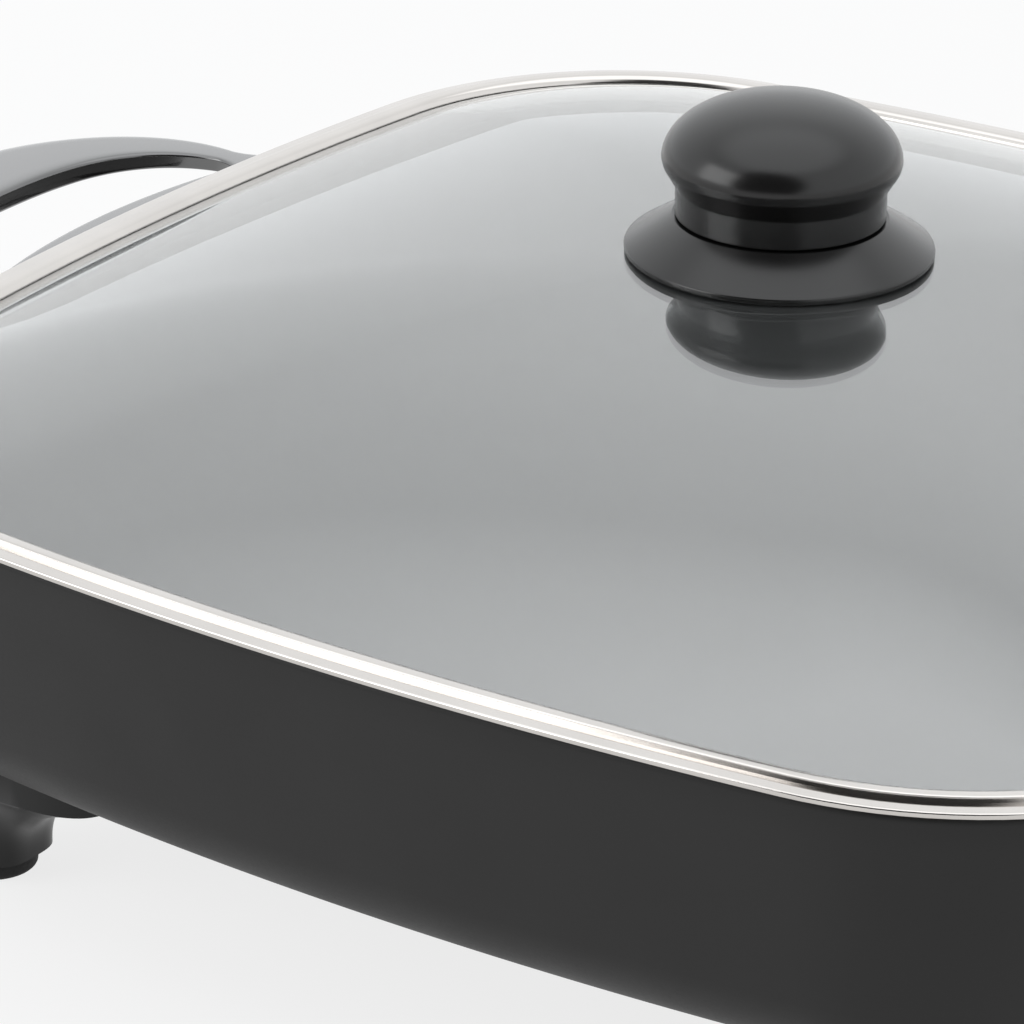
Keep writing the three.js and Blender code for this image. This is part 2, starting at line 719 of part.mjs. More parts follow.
// Centre line, width and thickness of the bow, from the wall round to the wall
function bowStations() {
  const arm = HANDLE_ARM_SPACING / 2;
  const wall = sideReach(0, arm);
  const bar = HALF_LENGTH + HANDLE_REACH - HANDLE_BAR_WIDTH / 2 - HANDLE_BAR_BOW;
  const corner = new THREE.Vector2(bar - HANDLE_CORNER, arm - HANDLE_CORNER);
  const swell = (share) => HANDLE_BAR_BOW * (1 - share ** 2);
  const turn = arcPoints(corner, HANDLE_CORNER, Math.PI / 2, 0, HANDLE_STEPS).map((point, step) => [
    point.x,
    point.y,
    HANDLE_ARM_WIDTH + ((HANDLE_BAR_WIDTH - HANDLE_ARM_WIDTH) * step) / HANDLE_STEPS,
    HANDLE_ARM_THICKNESS + ((HANDLE_THICKNESS - HANDLE_ARM_THICKNESS) * step) / HANDLE_STEPS,
  ]);
  const flare = HANDLE_ARM_FLARE;
  const flared = [[-PAN_WALL / 4, 2 * flare], [flare / 2, flare], [flare, flare / 4]].map(([out, wider]) => (
    [wall + out, arm, HANDLE_ARM_WIDTH + wider, HANDLE_ARM_THICKNESS]
  ));
  const half = [...flared, ...turn, [bar + swell(1 / 2), corner.y / 2, HANDLE_BAR_WIDTH, HANDLE_THICKNESS]];
  const other = half.slice().reverse().map(([x, y, ...size]) => [x, -y, ...size]);
  return [...half, [bar + swell(0), 0, HANDLE_BAR_WIDTH, HANDLE_THICKNESS], ...other];
}

function handleBow() {
  return sweep(bowStations(), ([, , width, thickness]) => {
    const section = roundedRing(width / 2, thickness / 2, BOW_POWER, SMALL_ROUND_STEPS);
    return section.map((point) => new THREE.Vector2(point.x, HANDLE_TOP - thickness / 2 + point.y));
  });
}

function handleWeb() {
  const low = WEB_LOW;
  const high = HANDLE_TOP;
  return loft(Array.from({ length: HANDLE_STEPS + 1 }, (_, step) => {
    const y = WEB_WIDTH * (step / HANDLE_STEPS - 0.5);
    const inner = (height) => sideReach(wallInset(height) - SEAT_GAP, y);
    const edge = WEB_EDGE;
    return [
      new THREE.Vector3(inner(low), y, low),
      new THREE.Vector3(webReach(y) - edge, y, low),
      new THREE.Vector3(webReach(y), y, low + edge),
      new THREE.Vector3(webReach(y), y, high - edge),
      new THREE.Vector3(webReach(y) - edge, y, high),
      new THREE.Vector3(inner(high), y, high),
    ];
  }));
}

// One face of a strap, from the web down the wall and in under the pan
function strapFace(offset) {
  const wallOffset = -offset / Math.cos(DRAFT);
  const top = HANDLE_TOP - HANDLE_THICKNESS / 2;
  const turn = bend(PAN_BASE_HEIGHT - offset, wallOffset, PAN_OUTER_BEND + offset);
  return [
    new THREE.Vector2(wallInset(top) + wallOffset, top),
    ...turn.slice().reverse(),
    new THREE.Vector2(turn[0].x + STRAP_TAIL, turn[0].y),
  ];
}

function handleStrap(middle) {
  const inner = strapFace(SEAT_GAP);
  const outer = strapFace(SEAT_GAP + STRAP_THICKNESS);
  const edge = STRAP_THICKNESS / 4;
  const half = STRAP_WIDTH / 2;
  return loft(inner.map((point, place) => {
    const face = outer[place];
    const near = new THREE.Vector2().lerpVectors(face, point, edge / STRAP_THICKNESS);
    const at = ({ x, y }, across) => new THREE.Vector3(sideReach(x, middle + across), middle + across, y);
    return [
      at(point, -half), at(near, -half), at(face, edge - half),
      at(face, half - edge), at(near, half), at(point, half),
    ];
  }));
}

function makeHandle(name, turn) {
  const places = strapScrewPlaces(1);
  const pocketLow = PAN_BASE_HEIGHT - BOSS_HEIGHT - SEAT_GAP;
  const pockets = places.map(([x, y]) => (
    cylinder(BOSS_RADIUS + SEAT_GAP, pocketLow, PAN_BASE_HEIGHT).translate(x, y, 0)
  ));
  const straps = places.map(([, y]) => handleStrap(y));
  const body = without(joined(handleWeb(), handleBow(), ...straps), ...pockets, ...places.map(screwHoleAt));
  return piece(name, meshGeometry(body).rotateZ(turn), 'phenolic');
}

// Legs and feet

// Shares of the fall below the pad, of the flare from foot to pad, and of the shift towards the middle
const LEG_SHARES = [[0, 1, 1], [0.12, 0.6, 0.7], [0.32, 0.28, 0.4], [0.62, 0.06, 0.15], [1, 0, 0]];

function legPost(towardsMiddle) {
  const top = PAN_BASE_HEIGHT - SEAT_GAP;
  const low = FOOT_HEIGHT + SEAT_GAP;
  const padLow = top - LEG_PAD_THICKNESS;
  const ring = (height, flare, shift) => {
    const length = LEG_FOOT_LENGTH + (LEG_PAD_LENGTH - LEG_FOOT_LENGTH) * flare;
    const width = LEG_FOOT_WIDTH + (LEG_PAD_WIDTH - LEG_FOOT_WIDTH) * flare;
    const middle = LEG_PAD_SHIFT * shift * towardsMiddle;
    return roundedRing(length / 2, width / 2, LEG_POWER, FINE_ROUND_STEPS).map((point) => (
      new THREE.Vector3(middle + point.x, point.y, height)
    ));
  };
  const falling = LEG_SHARES.map(([fall, flare, shift]) => (
    ring(padLow - (padLow - low) * fall, flare, shift)
  ));
  return loft([ring(top, 1, 1), ...falling]);
}

function makeLeg(name, [x, y]) {
  const pocketLow = PAN_BASE_HEIGHT - BOSS_HEIGHT - SEAT_GAP;
  const body = without(
    solid(legPost(-Math.sign(x))),
    cylinder(BOSS_RADIUS + SEAT_GAP, pocketLow, PAN_BASE_HEIGHT),
    cylinder(SCREW_RADIUS + SEAT_GAP, 0, PAN_BASE_HEIGHT),
    cylinder(LEG_BORE_RADIUS, 0, pocketLow - LEG_WEB, FINE_ROUND_STEPS),
  );
  return piece(name, meshGeometry(body).translate(x, y, 0), 'phenolic');
}

function makeFoot(name, [x, y]) {
  const plug = LEG_BORE_RADIUS - SEAT_GAP;
  const edge = FOOT_HEIGHT / 4;
  const profile = [
    [0, 0], [FOOT_RADIUS - edge, 0], [FOOT_RADIUS, edge], [FOOT_RADIUS, FOOT_HEIGHT], [plug, FOOT_HEIGHT],
    [plug, FOOT_HEIGHT + FOOT_PLUG_HEIGHT], [0, FOOT_HEIGHT + FOOT_PLUG_HEIGHT],
  ];
  return piece(name, turned(profile, FINE_ROUND_STEPS).translate(x, y, 0), 'rubber');
}

// Screws

// Pan-head screw that points up; bearing is the underside of what its head holds
function screwProfile(radius, headRadius, headHeight, bearing, tip) {
  const top = bearing - SEAT_GAP;
  const low = top - headHeight;
  return [
    [0, low], [headRadius * SCREW_CROWN_SHARE, low], [headRadius, top - headHeight / 2], [headRadius, top],
    [radius, top], [radius, tip], [0, tip],
  ];
}

function makePanScrew(name, [x, y], bearing) {
  const tip = PAN_BASE_HEIGHT + PAN_FLOOR / 2 - SEAT_GAP;
  const profile = screwProfile(SCREW_RADIUS, SCREW_HEAD_RADIUS, SCREW_HEAD_HEIGHT, bearing, tip);
  return piece(name, turned(profile).translate(x, y, 0), 'plainSteel');
}

function makeUnderside() {
  const pocketLow = PAN_BASE_HEIGHT - BOSS_HEIGHT - SEAT_GAP;
  const legs = Object.entries(legPlaces()).flatMap(([place, at]) => [
    makeLeg(`leg_${place}`, at),
    makeFoot(`foot_pad_${place}`, at),
    makePanScrew(`leg_screw_${place}`, at, pocketLow - LEG_WEB),
  ]);
  const strapLow = PAN_BASE_HEIGHT - SEAT_GAP - STRAP_THICKNESS;
  const straps = [['left', -1], ['right', 1]].flatMap(([name, side]) => (
    strapScrewPlaces(side).map((at, k) => makePanScrew(`handle_screw_${name}_${k + 1}`, at, strapLow))
  ));
  const guardLow = PAN_BASE_HEIGHT - SEAT_GAP - GUARD_SHEET;
  const guard = guardScrewPlaces().map((at, k) => makePanScrew(`guard_screw_${k + 1}`, at, guardLow));
  return [...legs, ...straps, ...guard];
}

// Lid

const LID_SEAT = RIM_HEIGHT + SEAT_GAP;
const SKIRT_INSET = wallInset(RIM_HEIGHT - SKIRT_DEPTH) + PAN_WALL / Math.cos(DRAFT) + RUNNING_GAP;
const GLASS_EDGE_INSET = SKIRT_INSET + BAND_SHEET + SEAT_GAP;
const GLASS_HALF_LENGTH = HALF_LENGTH - GLASS_EDGE_INSET;

// Height of the glass's upper face at a share of the way from the centre hole to the edge
function glassTop(share) {
  return LID_SEAT + GLASS_EDGE_STEP + GLASS_RISE * (1 - share ** DOME_POWER);
}

function glassShare(distance) {
  return (distance - GLASS_HOLE_RADIUS) / (GLASS_HALF_LENGTH - GLASS_HOLE_RADIUS);
}

function glassRing(share, drop) {
  return outlineRing(GLASS_EDGE_INSET, 0).map((edge) => {
    const hole = edge.clone().setLength(GLASS_HOLE_RADIUS);
    return hole.lerp(edge, share).setZ(glassTop(share) - drop);
  });
}

const VENT_SHARE = glassShare(VENT_DISTANCE);
const VENT_TILT = Math.atan((GLASS_RISE * DOME_POWER * VENT_SHARE ** (DOME_POWER - 1)) / GLASS_HALF_LENGTH);

function setInVent(geometry) {
  return geometry.rotateY(VENT_TILT).translate(VENT_DISTANCE, 0, glassTop(VENT_SHARE) - GLASS_THICKNESS / 2);
}

function makeGlass() {
  const shares = Array.from({ length: DOME_STEPS + 1 }, (_, step) => step / DOME_STEPS);
  const lower = shares.map((share) => glassRing(share, GLASS_THICKNESS));
  const upper = shares.slice().reverse().map((share) => glassRing(share, 0));
  const bore = cylinder(VENT_BORE_RADIUS + VENT_WALL + SEAT_GAP, -GLASS_THICKNESS, GLASS_THICKNESS);
  return piece('lid_glass', without(solid(loft([...lower, ...upper], true)), setInVent(bore)), 'glass');
}

function makeVent() {
  const face = GLASS_THICKNESS / 2 + SEAT_GAP;
  const end = face + VENT_FLANGE_THICKNESS;
  const sleeve = VENT_BORE_RADIUS + VENT_WALL;
  const rim = sleeve + VENT_FLANGE;
  const eyelet = turned([
    [VENT_BORE_RADIUS, -end], [rim, -end], [rim, -face], [sleeve, -face], [sleeve, face],
    [rim, face], [rim - VENT_WALL / 2, end], [VENT_BORE_RADIUS, end], [VENT_BORE_RADIUS, -end],
  ], FINE_ROUND_STEPS);
  return piece('vent_eyelet', setInVent(eyelet), 'plainSteel');
}

// Shares of the width and of the height of the bead that is rolled over the edge of the glass
const BEAD_SHARES = [[0, 0], [0.05, 0.8], [0.2, 1], [0.5, 0.94], [0.8, 0.66], [1, 0.2]];

function bandProfile() {
  const slope = (GLASS_RISE * DOME_POWER) / GLASS_HALF_LENGTH;
  const edge = GLASS_EDGE_INSET;
  const top = (inset) => GLASS_EDGE_STEP + (inset - edge) * slope + SEAT_GAP;
  const bottom = (inset) => top(inset) - GLASS_THICKNESS - 3 * SEAT_GAP;
  const high = BAND_FLANGE_HEIGHT;
  const inner = edge - SEAT_GAP;
  const tip = edge + BEAD_OVERLAP;
  const lip = edge + BAND_LIP;
  const bead = BEAD_SHARES.map(([across, up]) => (
    [BAND_FLANGE_WIDTH + (tip - BAND_FLANGE_WIDTH) * across, high + BEAD_HEIGHT * up]
  ));
  return [
    [high / 4, 0], [0, high / 2], [high / 4, high], ...bead, [tip, top(tip)], [inner, top(inner)],
    [inner, bottom(inner)], [lip, bottom(lip)], [lip, bottom(lip) - BAND_SHEET],
    [inner, bottom(inner) - BAND_SHEET], [inner, -SKIRT_DEPTH], [SKIRT_INSET, -SKIRT_DEPTH], [SKIRT_INSET, 0],
  ];
}

function makeBand() {
  const rings = bandProfile().map(([inset, height]) => outlineRing(inset, LID_SEAT + height));
  return piece('lid_rim_band', loft(rings, true), 'polishedSteel');
}

// Knob

const KNOB_SKIRT_LOW = glassTop(glassShare(KNOB_SKIRT_RADIUS)) + GASKET_THICKNESS;
const KNOB_SKIRT_TOP = KNOB_SKIRT_LOW + KNOB_SKIRT_HEIGHT;
const GASKET_LOW = glassTop(0) + SEAT_GAP;
const GLASS_UNDERSIDE = glassTop(0) - GLASS_THICKNESS;

function makeKnobGrip() {
  const low = KNOB_SKIRT_TOP + SEAT_GAP;
  const neckTop = low + KNOB_NECK_HEIGHT;
  const headLow = neckTop + KNOB_FLARE_HEIGHT;
  const postLow = GASKET_LOW + SEAT_GAP;
  const bore = KNOB_SCREW_RADIUS + SEAT_GAP;
  const boreTop = GLASS_UNDERSIDE + KNOB_SCREW_LENGTH + SEAT_GAP;
  const inner = KNOB_NECK_RADIUS - KNOB_WALL;
  const crown = Array.from({ length: DOME_STEPS + 1 }, (_, step) => {
    const angle = (Math.PI * step) / (2 * DOME_STEPS);
    const across = Math.cos(angle) ** (2 / CROWN_POWER);
    const up = Math.sin(angle) ** (2 / CROWN_POWER);
    return [step < DOME_STEPS ? KNOB_HEAD_RADIUS * across : 0, headLow + KNOB_CROWN_HEIGHT * up];
  });
  return piece('knob_grip', turned([
    [0, boreTop], [bore, boreTop], [bore, postLow], [KNOB_POST_RADIUS, postLow], [KNOB_POST_RADIUS, headLow],
    [inner, headLow], [inner, low], [KNOB_NECK_RADIUS, low], [KNOB_NECK_RADIUS, neckTop],
    [KNOB_HEAD_RADIUS - KNOB_WALL / 8, headLow - KNOB_WALL / 2], ...crown,
  ], ROUND_STEPS), 'satinPhenolic');
}

function makeKnobSkirt() {
  const hole = KNOB_POST_RADIUS + SEAT_GAP;
  const seat = GASKET_LOW + GASKET_THICKNESS + SEAT_GAP;
  const low = KNOB_SKIRT_LOW;
  const ceiling = KNOB_SKIRT_TOP - KNOB_SKIRT_WALL;
  const edge = KNOB_SKIRT_EDGE;
  return piece('knob_skirt', turned([
    [hole, seat], [GASKET_RADIUS, seat], [GASKET_RADIUS, ceiling], [KNOB_NECK_RADIUS, ceiling],
    [KNOB_SKIRT_RADIUS - KNOB_SKIRT_WALL, low], [KNOB_SKIRT_RADIUS - edge / 4, low],
    [KNOB_SKIRT_RADIUS, low + edge / 4], [KNOB_SKIRT_RADIUS, low + edge * KNOB_SKIRT_UPRIGHT_SHARE],
    [KNOB_SKIRT_RADIUS - edge / 3, low + edge], [KNOB_NECK_RADIUS + edge / 4, KNOB_SKIRT_TOP],
    [hole, KNOB_SKIRT_TOP], [hole, seat],
  ], ROUND_STEPS), 'satinPhenolic');
}

function makeKnobFixings() {
  const gasketTop = GASKET_LOW + GASKET_THICKNESS;
  const gasket = ringProfile(KNOB_POST_RADIUS + SEAT_GAP, GASKET_RADIUS, GASKET_LOW, gasketTop);
  const washerTop = GLASS_UNDERSIDE - SEAT_GAP;
  const washerLow = washerTop - WASHER_THICKNESS;
  const washer = ringProfile(KNOB_SCREW_RADIUS + SEAT_GAP, WASHER_RADIUS, washerLow, washerTop);
  const tip = GLASS_UNDERSIDE + KNOB_SCREW_LENGTH;
  const screw = screwProfile(
    KNOB_SCREW_RADIUS, KNOB_SCREW_HEAD_RADIUS, KNOB_SCREW_HEAD_HEIGHT, washerLow, tip,
  );
  return [
    piece('knob_gasket', turned(gasket, FINE_ROUND_STEPS), 'silicone'),
    piece('knob_washer', turned(washer, FINE_ROUND_STEPS), 'plainSteel'),
    piece('knob_screw', turned(screw), 'plainSteel'),
  ];
}

// Thermostat control housing

const CONTROL_END = NOSE_FRONT + CONTROL_LENGTH;
const DIAL_AXIS = NOSE_FRONT + DIAL_PLACE;
const CONTROL_TOP = ELEMENT_HEIGHT + CONTROL_HEIGHT / 2;
const CONTROL_LOW = ELEMENT_HEIGHT - CONTROL_HEIGHT / 2;

// Shares of the length, width and height of the housing at each of its sections
const HOUSING_SHARES = [
  [0, 0.93, 0.88], [0.03, 0.98, 1], [0.46, 1, 1], [0.7, 0.94, 1],
  [0.84, 0.76, 0.93], [0.96, 0.54, 0.8], [1, 0.42, 0.68],
];

function housingLoft(wall) {
  return loft(HOUSING_SHARES.map(([place, width, height]) => {
    const x = NOSE_FRONT + wall + (CONTROL_LENGTH - 2 * wall) * place;
    const halfWidth = (CONTROL_WIDTH * width) / 2 - wall;
    const halfHeight = (CONTROL_HEIGHT * height) / 2 - wall;
    return roundedRing(halfWidth, halfHeight, HOUSING_POWER, ROUND_STEPS).map((point) => (
      new THREE.Vector3(x, point.x, ELEMENT_HEIGHT + point.y)
    ));
  }));
}

function postPlaces() {
  const front = NOSE_FRONT + CONTROL_POST_PLACE;
  const y = CONTROL_POST_SPACING / 2;
  return [[front, -y], [front, y], [NOSE_FRONT + CONTROL_TAIL_POST_PLACE, 0]];
}

function noseHole(radius, y) {
  return levelBore(radius, NOSE_FRONT - OVERRUN, NOSE_FRONT + CONTROL_WALL + OVERRUN, y);
}

function housingHalf(low, high) {
  const size = CONTROL_LENGTH + CONTROL_WIDTH;
  const slab = block([NOSE_FRONT - OVERRUN, -size, low], [CONTROL_END + OVERRUN, size, high]);
  return solid(housingLoft(0)).intersect(solid(slab)).subtract(solid(housingLoft(CONTROL_WALL)));
}

function housingHoles() {
  const pinHole = PIN_RADIUS + RUNNING_GAP;
  const cordHole = GLAND_BORE_RADIUS + GLAND_WALL + SEAT_GAP;
  const from = CONTROL_END - CONTROL_WALL - OVERRUN;
  return [
    noseHole(pinHole, PIN_SPACING / 2),
    noseHole(pinHole, -PIN_SPACING / 2),
    noseHole(ROD_RADIUS + SEAT_GAP, 0),
    levelBore(cordHole, from, CONTROL_END + OVERRUN, 0, FINE_ROUND_STEPS),
  ];
}

const CONTACT_TOP = ELEMENT_HEIGHT + BLOCK_HEIGHT / 4 - BLADE_TRAVEL;
const CONTACT_LOW = CONTACT_TOP - CONTACT_HEIGHT;
const BLADE_LOW = CONTACT_TOP + BLADE_TRAVEL + SEAT_GAP;
const BLOCK_START = NOSE_FRONT + CONTROL_WALL + SEAT_GAP;
const BLOCK_END = BLOCK_START + BLOCK_LENGTH;
const BLADE_START = BLOCK_END + SEAT_GAP;
const LENS_PLACE = BLOCK_END - LENS_RADIUS / 2;
const CONTACT_PLACE = DIAL_AXIS + CONTACT_RADIUS;

function makeLowerShell() {
  const top = ELEMENT_HEIGHT - SEAT_GAP / 2;
  const floor = CONTROL_LOW + CONTROL_WALL / 2;
  const posts = postPlaces().map(([x, y]) => cylinder(CONTROL_POST_RADIUS, floor, top).translate(x, y, 0));
  const anvil = cylinder(CONTACT_RADIUS, floor, CONTACT_LOW - SEAT_GAP).translate(CONTACT_PLACE, 0, 0);
  const body = housingHalf(0, top).add(joined(...posts, anvil));
  const holes = postPlaces().flatMap(([x, y]) => [
    cylinder(CONTROL_SCREW_RADIUS + SEAT_GAP, 0, CONTROL_TOP).translate(x, y, 0),
    cylinder(CONTROL_SCREW_HEAD_RADIUS + SEAT_GAP, 0, CONTROL_LOW + CONTROL_SCREW_GRIP).translate(x, y, 0),
  ]);
  return piece('control_lower_shell', without(body, ...holes, ...housingHoles()), 'housing');
}

function makeUpperShell() {
  const low = ELEMENT_HEIGHT + SEAT_GAP / 2;
  const ceiling = CONTROL_TOP - CONTROL_WALL / 2;
  const posts = postPlaces().map(([x, y]) => cylinder(CONTROL_POST_RADIUS, low, ceiling).translate(x, y, 0));
  const seatTop = CONTROL_TOP + DIAL_SEAT_HEIGHT;
  const seat = cylinder(DIAL_RADIUS + DIAL_FLUTE_DEPTH, ceiling, seatTop, ROUND_STEPS);
  const body = housingHalf(low, RIM_HEIGHT).add(joined(...posts, seat.translate(DIAL_AXIS, 0, 0)));
  const blind = CONTROL_TOP - CONTROL_WALL;
  const holes = postPlaces().map(([x, y]) => (
    cylinder(CONTROL_SCREW_RADIUS + SEAT_GAP, 0, blind).translate(x, y, 0)
  ));
  const shaft = cylinder(SHAFT_RADIUS + SEAT_GAP, 0, RIM_HEIGHT).translate(DIAL_AXIS, 0, 0);
  const window = cylinder(LENS_RADIUS + SEAT_GAP, ELEMENT_HEIGHT, RIM_HEIGHT, FINE_ROUND_STEPS)
    .translate(LENS_PLACE, 0, 0);
  return piece('control_upper_shell', without(body, ...holes, shaft, window, ...housingHoles()), 'housing');
}

function makeControlScrews() {
  const tip = CONTROL_TOP - CONTROL_WALL - SEAT_GAP;
  const bearing = CONTROL_LOW + CONTROL_SCREW_GRIP;
  const profile = screwProfile(
    CONTROL_SCREW_RADIUS, CONTROL_SCREW_HEAD_RADIUS, CONTROL_SCREW_HEAD_HEIGHT, bearing, tip,
  );
  return postPlaces().map(([x, y], k) => (
    piece(`control_screw_${k + 1}`, turned(profile).translate(x, y, 0), 'plainSteel')
  ));
}

// Works inside the control

const SOCKET_INNER = PIN_RADIUS + SEAT_GAP;
const SOCKET_OUTER = SOCKET_INNER + SOCKET_WALL;

function makeTerminalBlock() {
  const low = ELEMENT_HEIGHT - BLOCK_HEIGHT / 2;
  const body = joined(
    block([BLOCK_START, -BLOCK_WIDTH / 2, low], [BLOCK_END, BLOCK_WIDTH / 2, low + BLOCK_HEIGHT]),
    block(
      [BLOCK_END - OVERRUN, -BLADE_WIDTH, low],
      [BLOCK_END + SHELF_LENGTH, BLADE_WIDTH, BLADE_LOW - SEAT_GAP],
    ),
  );
  const from = BLOCK_START - OVERRUN;
  const socket = (side) => (
    levelBore(SOCKET_OUTER + SEAT_GAP, from, BLOCK_END + OVERRUN, (side * PIN_SPACING) / 2)
  );
  const rodSeat = levelBore(ROD_RADIUS + SEAT_GAP, from, BLOCK_END - OVERRUN);
  return piece('terminal_block', without(body, socket(-1), socket(1), rodSeat), 'ceramic');
}

function makeSockets() {
  const profile = ringProfile(SOCKET_INNER, SOCKET_OUTER, BLOCK_START, BLOCK_START + SOCKET_LENGTH);
  return [['front', -1], ['rear', 1]].map(([place, side]) => {
    const socket = rodAxis(turnedAlongX(profile)).translate(0, (side * PIN_SPACING) / 2, 0);
    return piece(`socket_${place}`, socket, 'brass');
  });
}

function makeSensingRod() {
  const low = WELL_END + RUNNING_GAP;
  const high = BLOCK_END - OVERRUN - SEAT_GAP;
  const rod = turnedAlongX([
    [0, low], [ROD_RADIUS / 2, low], [ROD_RADIUS, low + ROD_RADIUS], [ROD_RADIUS, high], [0, high],
  ]);
  return piece('sensing_rod', rodAxis(rod), 'plainSteel');
}

function makeContacts() {
  const half = BLADE_WIDTH / 2;
  const blade = block(
    [BLADE_START, -half, BLADE_LOW],
    [BLADE_START + BLADE_LENGTH, half, BLADE_LOW + BLADE_THICKNESS],
  );
  const edge = CONTACT_HEIGHT / 3;
  const contact = turned([
    [0, CONTACT_LOW], [CONTACT_RADIUS, CONTACT_LOW], [CONTACT_RADIUS, CONTACT_TOP - edge],
    [CONTACT_RADIUS - edge, CONTACT_TOP], [0, CONTACT_TOP],
  ]);
  return [
    piece('contact_blade', blade, 'brass'),
    piece('fixed_contact', contact.translate(CONTACT_PLACE, 0, 0), 'brass'),
  ];
}

function makeIndicator() {
  const blockTop = ELEMENT_HEIGHT + BLOCK_HEIGHT / 2;
  const half = LAMP_LENGTH / 2;
  const lamp = turnedAlongX([[0, -half], [LAMP_RADIUS, LAMP_RADIUS - half], [LAMP_RADIUS, half], [0, half]])
    .translate(LENS_PLACE, 0, blockTop + SEAT_GAP + LAMP_RADIUS);
  const ceiling = CONTROL_TOP - CONTROL_WALL - SEAT_GAP;
  const rim = LENS_RADIUS + LENS_FLANGE;
  const [across, up] = LENS_SHOULDER_SHARES;
  const lens = turned([
    [0, ceiling - LENS_FLANGE_THICKNESS], [rim, ceiling - LENS_FLANGE_THICKNESS], [rim, ceiling],
    [LENS_RADIUS, ceiling], [LENS_RADIUS, CONTROL_TOP],
    [LENS_RADIUS * across, CONTROL_TOP + LENS_RISE * up], [0, CONTROL_TOP + LENS_RISE],
  ], FINE_ROUND_STEPS);
  return [
    piece('indicator_lamp', lamp, 'lampGlass'),
    piece('indicator_lens', lens.translate(LENS_PLACE, 0, 0), 'amber'),
  ];
}

function makeGland() {
  const sleeve = GLAND_BORE_RADIUS + GLAND_WALL;
  const rim = sleeve + GLAND_FLANGE;
  const inside = CONTROL_END - CONTROL_WALL - SEAT_GAP;
  const outside = CONTROL_END + SEAT_GAP;
  const thick = GLAND_FLANGE_THICKNESS;
  return piece('cord_gland', rodAxis(turnedAlongX([
    [GLAND_BORE_RADIUS, inside - thick], [rim, inside - thick], [rim, inside], [sleeve, inside],
    [sleeve, outside], [rim, outside], [rim, outside + thick / 2], [sleeve, outside + thick],
    [GLAND_BORE_RADIUS, outside + thick], [GLAND_BORE_RADIUS, inside - thick],
  ], FINE_ROUND_STEPS)), 'rubber');
}

// Dial

const DIAL_LOW = CONTROL_TOP + DIAL_SEAT_HEIGHT + SEAT_GAP;
const DIAL_BORE_TOP = DIAL_LOW + DIAL_HEIGHT * DIAL_BORE_SHARE;

function dialDisc() {
  const steps = FLUTE_STEPS * DIAL_FLUTES;
  const outline = Array.from({ length: steps }, (_, step) => {
    const angle = (2 * Math.PI * step) / steps;
    const radius = DIAL_RADIUS - (DIAL_FLUTE_DEPTH * (1 + Math.cos(DIAL_FLUTES * angle))) / 2;
    return new THREE.Vector2(radius * Math.cos(angle), radius * Math.sin(angle));
  });
  const edge = DIAL_FLUTE_DEPTH;
  return new THREE.ExtrudeGeometry(new THREE.Shape(outline), {
    depth: DIAL_HEIGHT - 2 * edge, bevelThickness: edge, bevelSize: edge, bevelOffset: -edge,
    bevelSegments: 1,
  }).translate(0, 0, DIAL_LOW + edge);
}

function dialGrip() {
  const half = DIAL_GRIP_WIDTH / 2;
  const reach = DIAL_RADIUS - half - DIAL_FLUTE_DEPTH * 3;
  const shape = new THREE.Shape();
  shape.absarc(reach, 0, half, -Math.PI / 2, Math.PI / 2);
  shape.absarc(-reach, 0, half, Math.PI / 2, DOWNWARD);
  const edge = DIAL_FLUTE_DEPTH;
  return new THREE.ExtrudeGeometry(shape, {
    depth: DIAL_GRIP_HEIGHT, bevelThickness: edge, bevelSize: edge, bevelOffset: -edge,
    bevelSegments: 2, curveSegments: TUBE_STEPS,
  }).translate(0, 0, DIAL_LOW + DIAL_HEIGHT - edge);
}

function makeDial() {
  const low = DIAL_LOW - OVERRUN;
  const outer = DIAL_RADIUS - CONTROL_WALL - DIAL_FLUTE_DEPTH;
  const hollow = turned(ringProfile(2 * SHAFT_RADIUS, outer, low, DIAL_LOW + DIAL_HEIGHT / 2), ROUND_STEPS);
  const bore = cylinder(SHAFT_RADIUS + SEAT_GAP, low, DIAL_BORE_TOP);
  const body = without(joined(dialDisc(), dialGrip()), hollow, bore);
  return piece('control_dial', meshGeometry(body).translate(DIAL_AXIS, 0, 0), 'housing');
}

function makeShaft() {
  const low = BLADE_LOW + BLADE_THICKNESS + SEAT_GAP;
  const flat = block(
    [SHAFT_RADIUS - SHAFT_FLAT, -SHAFT_RADIUS, DIAL_LOW],
    [2 * SHAFT_RADIUS, SHAFT_RADIUS, RIM_HEIGHT],
  );
  const shaft = without(solid(cylinder(SHAFT_RADIUS, low, DIAL_BORE_TOP - SEAT_GAP)), flat);
  return piece('dial_shaft', meshGeometry(shaft).translate(DIAL_AXIS, 0, 0), 'plainSteel');
}

// Assembly

function group(name, ...pieces) {
  const whole = new THREE.Group();
  whole.name = name;
  whole.add(...pieces.flat());
  return whole;
}

// Puts the middle of the whole over the origin, standing on the floor
function centred(whole) {
  const box = new THREE.Box3().setFromObject(whole);
  const middle = box.getCenter(new THREE.Vector3());
  whole.position.set(-middle.x, -middle.y, -box.min.z);
  return whole;
}

const base = group(
  'base_assembly', makePan(), makeElement(), makeTerminals(), makeGuideSleeve(), makeGuard(),
  makeHandle('handle_left', Math.PI), makeHandle('handle_right', 0), makeUnderside(),
);
const lid = group(
  'lid_assembly', makeGlass(), makeBand(), makeVent(), makeKnobGrip(), makeKnobSkirt(), makeKnobFixings(),
);
const control = group(
  'control_assembly', makeLowerShell(), makeUpperShell(), makeControlScrews(), makeTerminalBlock(),
  makeSockets(), makeSensingRod(), makeContacts(), makeIndicator(), makeGland(), makeDial(), makeShaft(),
);

export default centred(group('electric_skillet', base, lid, control));
